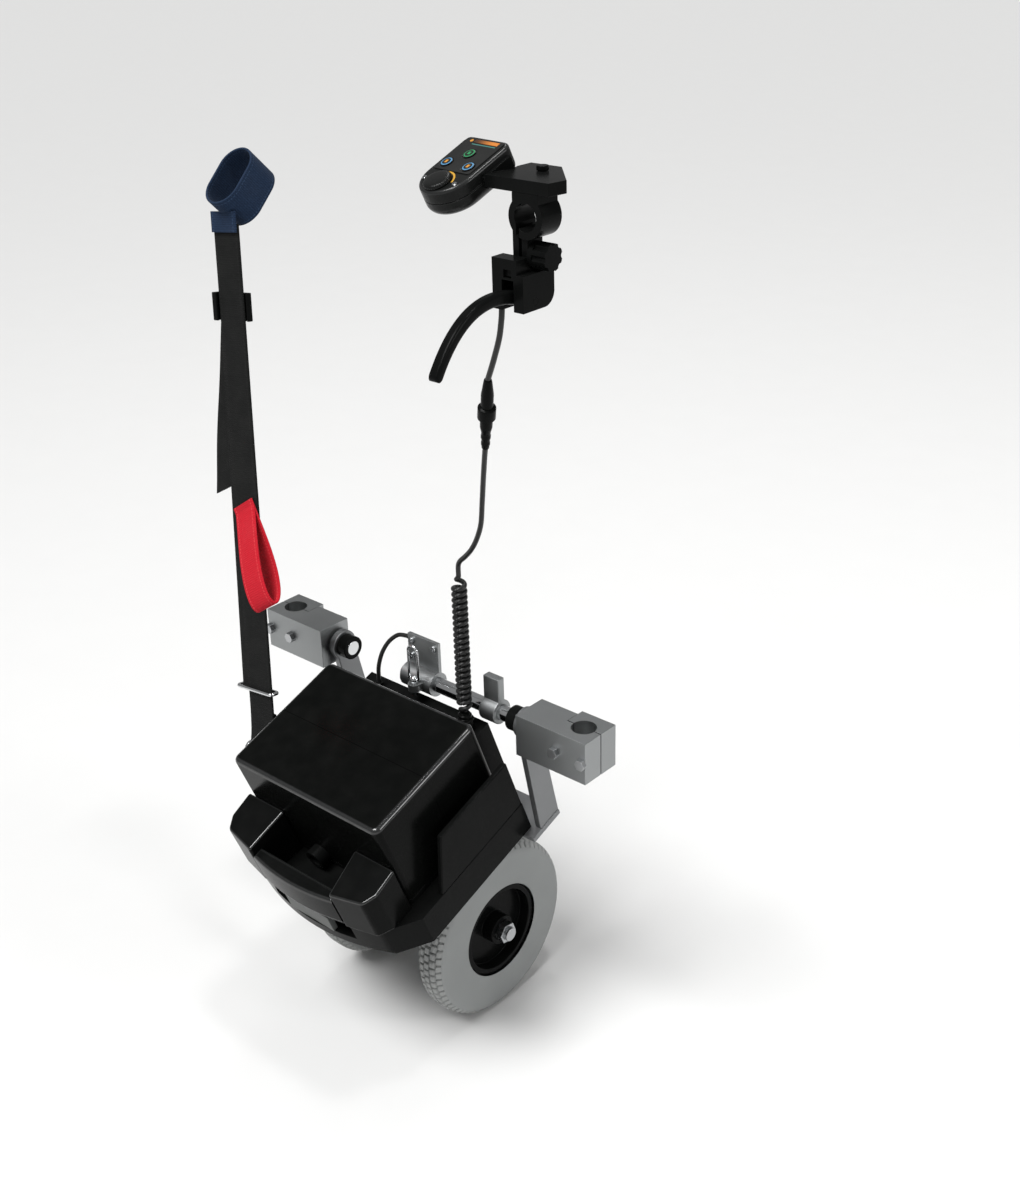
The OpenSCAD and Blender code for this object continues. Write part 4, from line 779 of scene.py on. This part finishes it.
pull_profile = box_outline(-17, 17, -1.2, 1.2, 1.0, 3)
hanging_band = drop(np.radians(np.linspace(10, 350, 120)))
sewn_band = along_strap([-5.8, -2, 2, 5.8], -4.35)
build("red_pull_loop", [carried(hanging_band, pull_profile, (1, 0, 0), askew),
                        carried(sewn_band, pull_profile * [1, 0.95], (1, 0, 0), askew)],
      "chair_side", "red_webbing", "pull_loop")

# %% Top loop
loop_radius, loop_straight, just_over = 20.25, 11, 1e-9
a = angles(72)
oval = np.stack([loop_radius * np.cos(a),
                 loop_radius * np.sin(a) + loop_straight * np.sign(np.sin(a + just_over)),
                 0 * a], -1)


def top_frame(points):
    """The blue loop's frame, leaning back at the strap's top."""
    return room(points @ spin(X, -135).T + [-216, -8, 482])


loop_foot = along_strap(np.linspace(-10, 10, 8), loop_front)
build("blue_top_loop", [carried(oval, web_profile, (0, 0, 1), top_frame, True),
                        carried(loop_foot, web_profile, (1, 0, 0), strap_frame)],
      "chair_side", "blue_webbing", "strap_loop")

# %% [markdown]
# The steel ring is bent from one round wire, so it is a circle carried round a long rectangle.

# %% Steel ring
ring_down, ring_wire = 484.0, 2.0
ring_line = box_outline(-34.4, 21.3, -4.8, 5.1, 3.2, 8)
ring_path = np.concatenate([ring_line, np.full((len(ring_line), 1), -ring_down)], -1)
build("strap_steel_ring", [carried(ring_path, circle(ring_wire, 12), (0, 0, 1), strap_frame, True)],
      "chair_side", "chrome", "strap_ring")

# %% [markdown]
# ## Battery pack
# The pack is a satin black box with generous round edges and a hand recess at its rear. The round
# edges carry almost all of the light in the photograph, so they are modelled, and their colour is
# lighter as well, partly as wear and partly as a painted highlight.

# %% Case, blocks and grip
case_rear, block_fall, block_length = -189, 10, 57
case_line = box_outline(-104, 104, case_rear, -39, 8, 8)
build("battery_case", [moulded(case_line, -85.6, 23, 1.2, 5, 8, unit)], "battery", "case_plastic",
      "battery_cover")


def block_top(u):
    """The handle blocks' tops fall evenly over their length behind the case."""
    return block_fall / block_length * np.minimum(0, u - case_rear)


block_line = rounded([(52, -189.05), (58, -239.8), (98, -231.8), (106, -217.5), (106, -189.05)],
                     [2.4, 3, 8, 8, 2.4], 6)
left_line = block_line[::-1] * [-1, 1]
bow_x = np.linspace(-58, 58, 49)
bow = np.stack([bow_x, -246 + 18 * (bow_x / 99.3) ** 2], -1)
grip_line = np.concatenate([bow, [[59, -226.9], [-59, -226.9]]])
blocks = [moulded(outline, -91.7, -32, 1.0, 2.2, 6, unit, block_top)
          for outline in (block_line, left_line)]
grip = moulded(grip_line, -87.7, -50.7, 4.0, 4.0, 6, unit)
build("handle_and_grip", [*blocks, grip], "battery", "black_plastic", "carry_handle")

# %% [markdown]
# The push latch stands on a coil spring. The CAD has only the spring's envelope, so here the spring
# is a wire coil in its place.

# %% Latch spring
wire, coil_turns, coil_low, coil_high = 0.3, 2.5, -234.5, -227.5
coil_radius, coil_v = 6.1, -106.5
turn = 2 * np.pi * np.linspace(0, coil_turns, 61)
coil = np.stack([coil_radius * np.cos(turn), np.linspace(coil_low, coil_high, 61),
                 coil_v + coil_radius * np.sin(turn)], -1)
spring = build("latch_coil", [carried(coil, circle(wire, 10), (0, 1, 0), unit)], None, "steel",
               "latch_spring")
tuple(unit(np.array([0, coil_low - wire, -106.5])))
tuple(unit(np.array([0, coil_high + wire, -106.5])))
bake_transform(spring)

# %% [markdown]
# ## Drive wheels
# The tyres are grey rubber with rows of small blocks. The tread is part of one surface: the
# section of the tyre is turned round the axle, and its radius drops between the blocks.

# %% Tyre section
axle_u, axle_v = -102, -248
bead, wall_top, outer, half_width, shoulder, flat_half = 53.2, 88, 100.0, 17.0, 11.9, 5.1
quarter = np.linspace(0, np.pi / 2, 14)[1:]
wall = np.concatenate([np.linspace(bead, wall_top, 12),
                       outer - shoulder + shoulder * np.sin(quarter)])
side = np.concatenate([np.full(12, half_width), flat_half + shoulder * np.cos(quarter)])
flat = np.linspace(flat_half, -flat_half, 17)[1:-1]
section_x = np.concatenate([side, flat, -side[::-1]])
section_r = np.concatenate([wall, np.full(len(flat), outer), wall[::-1]])
step = np.concatenate([[0], np.cumsum(np.hypot(np.diff(section_x), np.diff(section_r)))])
arc = step - step[-1] / 2
print("tyre section", round(step[-1], 1), "mm round")

# %% Tyres
around, blocks_round, row_pitch, groove_depth, tread_half = 720, 68, 7.2, 2.6, 17.6
block_half, block_slope = 0.36, 0.07


def tyre(middle):
    """The section turned round the axle; grooves 2 mm wide part its tread into staggered blocks."""
    a = angles(around)
    across = np.abs(((arc + row_pitch / 2) / row_pitch) % 1 - 0.5)[:, None]
    row = np.floor((arc + row_pitch / 2) / row_pitch)[:, None]
    along = np.abs((a[None] * blocks_round / (2 * np.pi) + 0.5 * (row % 2)) % 1 - 0.5)
    groove = np.clip((np.maximum(across, along) - block_half) / block_slope, 0, 1)
    tread = (np.abs(arc) < tread_half)[:, None]
    radius = section_r[:, None] - groove_depth * groove * tread
    points = np.stack([np.broadcast_to(section_x[:, None], radius.shape) + middle,
                       radius * np.cos(a), radius * np.sin(a)], -1)
    raised = (1 - groove) * tread
    return grid(unit(points[::-1] + [0, axle_u, axle_v]), edge=raised[::-1], caps=False)


for name, middle in (("left", -81), ("right", 81)):
    build("block_tyre_" + name, [tyre(middle)], "wheels", "tyre", "tyre_" + name, sharp=50)

# %% [markdown]
# ## Handset and levers
# The handset is a charcoal moulding with a round lower end, a keypad and a speed dial. Its two
# shells are outlines drawn in at top and bottom, so that the light runs round them.

# %% Handset shells
pad_line = rounded([(26, -48.5), (26, 25.5), (-26, 25.5), (-26, -48.5)], [25.9, 8, 8, 25.9], 14)
build("handset_bowl", [moulded(pad_line, -24, -11.25, 7.8, 0.7, 8, pad)], "chair_side",
      "handset_plastic", "handset_lower")
build("handset_face", [moulded(pad_line, -10.9, 0, 0.7, 2.8, 6, pad)], "chair_side",
      "handset_plastic", "handset_upper")

# %% [markdown]
# The keypad is a dark film with a coloured ring round each button. The rings are ink under the
# film, so they are colours on the points of a fine grid and not shapes of their own.

# %% Buttons
charcoal, gold = np.array([0.007, 0.0075, 0.0073]), np.array([0.50, 0.22, 0.03])
green, blue = np.array([0.02, 0.22, 0.08]), np.array([0.08, 0.24, 0.42])
button_radius, ring_in, ring_out, mark_x, mark_y = 5.4, 3.9, 4.9, 1.3, 1.7
dome_foot, dome_top, dome_fall = 0.9, 1.8, 0.45


def inked(where, colour, base):
    """Base colours with a colour where a mask is true."""
    return np.where(where[..., None], colour, base)


def button(name, at, ring, mark, body, slot, node):
    """A low dome with a printed ring: its height falls with the fourth power of the radius."""
    r = np.linspace(button_radius, 0.05, 34)
    dome = np.stack([r, dome_top - dome_fall * (r / button_radius) ** 4], -1)
    points = lathe(np.concatenate([[(button_radius, dome_foot)], dome]), 64)
    x, y = points[..., 0], points[..., 1]
    away = np.hypot(x, y)
    base = np.broadcast_to(charcoal, points.shape)
    ink = inked((away > ring_in) & (away < ring_out), ring, base)
    ink = inked((np.abs(x) < mark_x) & (np.abs(y) < mark_y), mark, ink)
    skin = grid(pad(points + [at[0], at[1], 0]))
    skin["print"] = ink.reshape(-1, 3)
    return build(name, [skin], body, slot, node)


button_places = {"power": (-0.6, 2.5), "left": (-13.7, -11.5), "right": (13.4, -12.5)}
for side, at in button_places.items():
    is_power = side == "power"
    ring, mark, slot = (green, green, "green_button") if is_power else (blue, gold, "blue_button")
    button(f"{side}_dome", at, ring, mark, f"button_{side}", slot, f"{side}_button")

# %% [markdown]
# Each button sinks 0.8 mm when it is pressed, so the film has a shallow well under each one. A
# cut hole would leave an open edge; here the film's height simply drops near a button.

# %% Keypad film
film_half, film_low, film_high, film_corner = 22, -20.5, 22.5, 3
well_floor, well_depth, well_radius, well_slope, rim, under = 0.05, 0.77, 5.85, 0.5, 0.72, 0.02
teal = np.array([0.05, 0.17, 0.15])
bar_x, bar_y, bar_half, bar_thick, dot_x, dot_y, dot_radius = 3.5, 14.6, 14, 0.45, -14.5, 18.6, 1.6
x = np.linspace(-film_half, film_half, 133)[:, None]
past = np.maximum(0, film_corner - (film_half - np.abs(x)))
corner = film_corner - np.sqrt(film_corner**2 - past**2)
share = np.linspace(1, 0, 127)[None]
y = (film_low + corner) * (1 - share) + (film_high - corner) * share
wells = np.min([np.hypot(x - at[0], y - at[1]) for at in button_places.values()], 0)
height = well_floor + well_depth * np.clip((wells - well_radius) / well_slope, 0, 1)
height = np.where((share == 0) | (share == 1), rim, height)
top = np.stack(np.broadcast_arrays(x, y, height), -1)
film = np.concatenate([top, top[:, [-1, 0]] * [1, 1, 0] + [0, 0, under]], 1)
base = np.broadcast_to(charcoal, top.shape)
ink = inked((np.abs(y - bar_y) < bar_thick) & (np.abs(x - bar_x) < bar_half), teal, base)
ink = inked(np.hypot(x - dot_x, y - dot_y) < dot_radius, gold, ink)
sheet = grid(pad(film))
sheet["print"] = np.concatenate([ink, ink[:, [-1, 0]]], 1).reshape(-1, 3)

# %% Printed arc by the dial
dial_y = -35


def arc_of(inner, outer, low, high, start, end):
    """A flat printed arc round the dial: a thin ring's part, from one angle to another."""
    angle = np.radians(np.linspace(start, end, 60))[:, None]
    r = np.r_[np.linspace(outer, inner, 5), inner, outer][None]
    z = np.r_[np.full(5, high), low, low][None]
    return np.stack(np.broadcast_arrays(r * np.cos(angle), r * np.sin(angle) + dial_y, z), -1)


dial_arc = grid(pad(arc_of(12.9, 14.5, 0.02, 0.16, 125, 12)))
dial_arc["print"] = np.broadcast_to(gold * [1, 1.25, 1], (len(dial_arc["points"]), 3))
build("keypad_sheet", [sheet, dial_arc], "chair_side", "keypad_film", "keypad")

# %% [markdown]
# The dial is a low knob with fine flutes round its rim. A turned profile gives the knob, and the
# flutes are a cosine in its radius. Cap screws with a round socket hold the handset's face.

# %% Dial
flutes = 36
dial_profile = [(11.4, 0.3), (12, 0.8), (12, 2.4), (11.2, 3.4), (9.2, 4.0), (6.5, 4.2), (3, 4.3),
                (0.1, 4.3)]
flute_depth = np.array([0.02, 0.03, 0.03, 0.02, 0, 0, 0, 0])[:, None]


def knurl(a):
    """Shallow flutes on the dial's rim: 1 - depth x (0.5 + 0.5 cos(flutes x angle))."""
    return 1 - flute_depth * (0.5 + 0.5 * np.cos(flutes * a))[None]


dial = lathe(dial_profile, 6 * flutes, knurl) + [0, dial_y, 0]
build("speed_dial_knob", [grid(pad(dial))], "dial", "handset_plastic", "speed_dial")

# %% Face screws
screw_profile = np.array([(1, 0), (1, 0.8), (0.9, 1), (0.56, 1), (0.52, 0.45), (0.05, 0.4)])


def screws(name, places, frame_of, turn, radius, height, body, slot="steel"):
    """Cap screws with a socket: one short turned head, set down at each place."""
    head = lathe(screw_profile * [radius, height], 18)
    skins = [grid(frame_of(head @ turn.T + np.asarray(at, float))) for at in places]
    return build(name, skins, body, slot)


screws("handset_screws", [(-18.6, -33, 0.02), (18.6, -33.6, 0.02)], pad, np.eye(3), 2.1, 1.0,
       "chair_side", "chrome")

# %% [markdown]
# The throttle lever is a flat paddle that bends down and back. Its middle line is a curve between
# three points, and a rounded rectangle is carried along it that thins towards the tip.

# %% Throttle lever
lever_x, lever_half, lever_thick, lever_taper = 206.0, 5, 6, 1.5
pivot, knee, tip = np.array([-78, 456.0]), np.array([-140, 478.0]), np.array([-177, 418.0])
t = np.linspace(0, 1, 40)[:, None]
line = (1 - t) ** 2 * pivot + 2 * t * (1 - t) * knee + t**2 * tip
half = lever_thick - lever_taper * np.sqrt(t[:, 0])
heading = unit_rows(np.gradient(line, axis=0))
# Each end is closed by most of a quarter circle.
end_a = np.radians(np.linspace(0, 84, 8))
front = line[:1] - heading[:1] * half[0] * np.sin(end_a[::-1])[:, None]
rear = line[-1:] + heading[-1:] * half[-1] * np.sin(end_a)[:, None]
whole = np.concatenate([front[:-1], line, rear[1:]])
sizes = np.concatenate([half[0] * np.cos(end_a[::-1])[:-1], half, half[-1] * np.cos(end_a)[1:]])
lever_path = np.concatenate([np.full((len(whole), 1), lever_x), whole], -1)
cosine, sine = np.cos(angles(28)), np.sin(angles(28))
squircle = np.stack([lever_half * np.sign(cosine) * np.abs(cosine) ** 0.45,
                     np.sign(sine) * np.abs(sine) ** 0.7], -1)
profile = squircle[None] * np.stack([np.ones_like(sizes), sizes], -1)[:, None]
build("throttle_paddle", [carried(lever_path, profile, (1, 0, 0))], "throttle", "black_plastic",
      "throttle_lever")

# %% [markdown]
# ## CAD parts that stay
# The remaining parts are machined blocks, bent plates and mouldings whose shape is right. Their
# own meshes are not touched: live modifiers merge the triangles and round each hard edge, so
# that the edges catch light as real ones do.

# %% Soft edges on the CAD parts
merge_gap, flat_angle, edge_angle, edge_steps = 0.00002, np.radians(1.0), np.radians(38), 3


def soften(name, width):
    """Merge, join flat triangles, round the edges by a width in mm and even out the shading."""
    part = nodes[name]
    part.data.shade_smooth()
    part.modifiers.new("merge", "WELD").merge_threshold = merge_gap
    flat = part.modifiers.new("join flats", "DECIMATE")
    flat.decimate_type, flat.angle_limit = "DISSOLVE", flat_angle
    if width:
        bevel = part.modifiers.new("round edges", "BEVEL")
        bevel.width, bevel.segments = width * MM, edge_steps
        bevel.limit_method, bevel.angle_limit = "ANGLE", edge_angle
    part.modifiers.new("even shading", "WEIGHTED_NORMAL").keep_sharp = True


edges = {"base_tray": 1.6, "side_pods": 1.6, "chassis_plate": 1.0, "hanger_arms": 1.0,
         "controller_box": 2.0, "frame_clamp_left": 1.2, "frame_clamp_right": 1.2,
         "clamp_caps": 1.2, "clamp_bolts": 0.5, "latch_bracket": 0.9, "quick_pin": 0,
         "release_lever": 1.6, "bar_collars": 1.0, "crossbar": 0.6, "push_latch": 1.0,
         "handle_clamp": 1.2, "clamp_knob": 0.8, "control_arm": 2.0, "arm_knob": 0.8,
         "throttle_housing": 1.4, "status_lens": 0.2, "strap_slider": 1.0, "strap_post": 0.5,
         "wheel_hubs": 1.0, "hub_nuts": 0.6, "gearbox_halves": 1.5, "motor_can": 1.2,
         "charge_socket": 0.6, "battery_base": 0.6, "axle": 0.4, "axle_bearings": 0.3,
         "lever_pin": 0.2}
for name, width in edges.items():
    soften(name, width)
print("softened", len(edges), "parts")

# %% Finishes on the CAD parts
# The lever's pin shows only its ends, which are as black as the housing round them.
for part in frame["record"]["subparts"]:
    paint = "black_plastic" if part["node"] == "lever_pin" else part["material_slot"]
    mesh = nodes[part["node"]].data
    mesh.materials.clear()
    mesh.materials.append(finish[paint])

# %% [markdown]
# ## Screws
# Small fasteners tell the eye how large a thing is. Each head is turned once and set down on the
# face that it holds: the latch bracket's plate, the gearbox halves and the controller box.

# %% Screws
screws("bracket_screws", [(-25, 2, 39), (-25, 2, 22), (6, 2, 39)], room, spin(X, 90), 3.4, 2.6,
       "unit")
gear_circle, ring_a = 48.6, np.radians([35, 95, 155, 205, 265, 325])
gear_places = np.stack([np.full(6, 22.0), axle_u + gear_circle * np.cos(ring_a),
                        axle_v + gear_circle * np.sin(ring_a)], -1)
screws("gearbox_screws", gear_places, unit, spin(Y, 90), 3.2, 3.0, "unit")
box_places = [(x, -9.5, v) for x in (-77, 0, 77) for v in (-22, -121)]
screws("box_screws", box_places, unit, spin(X, -90), 3.2, 2.2, "unit")
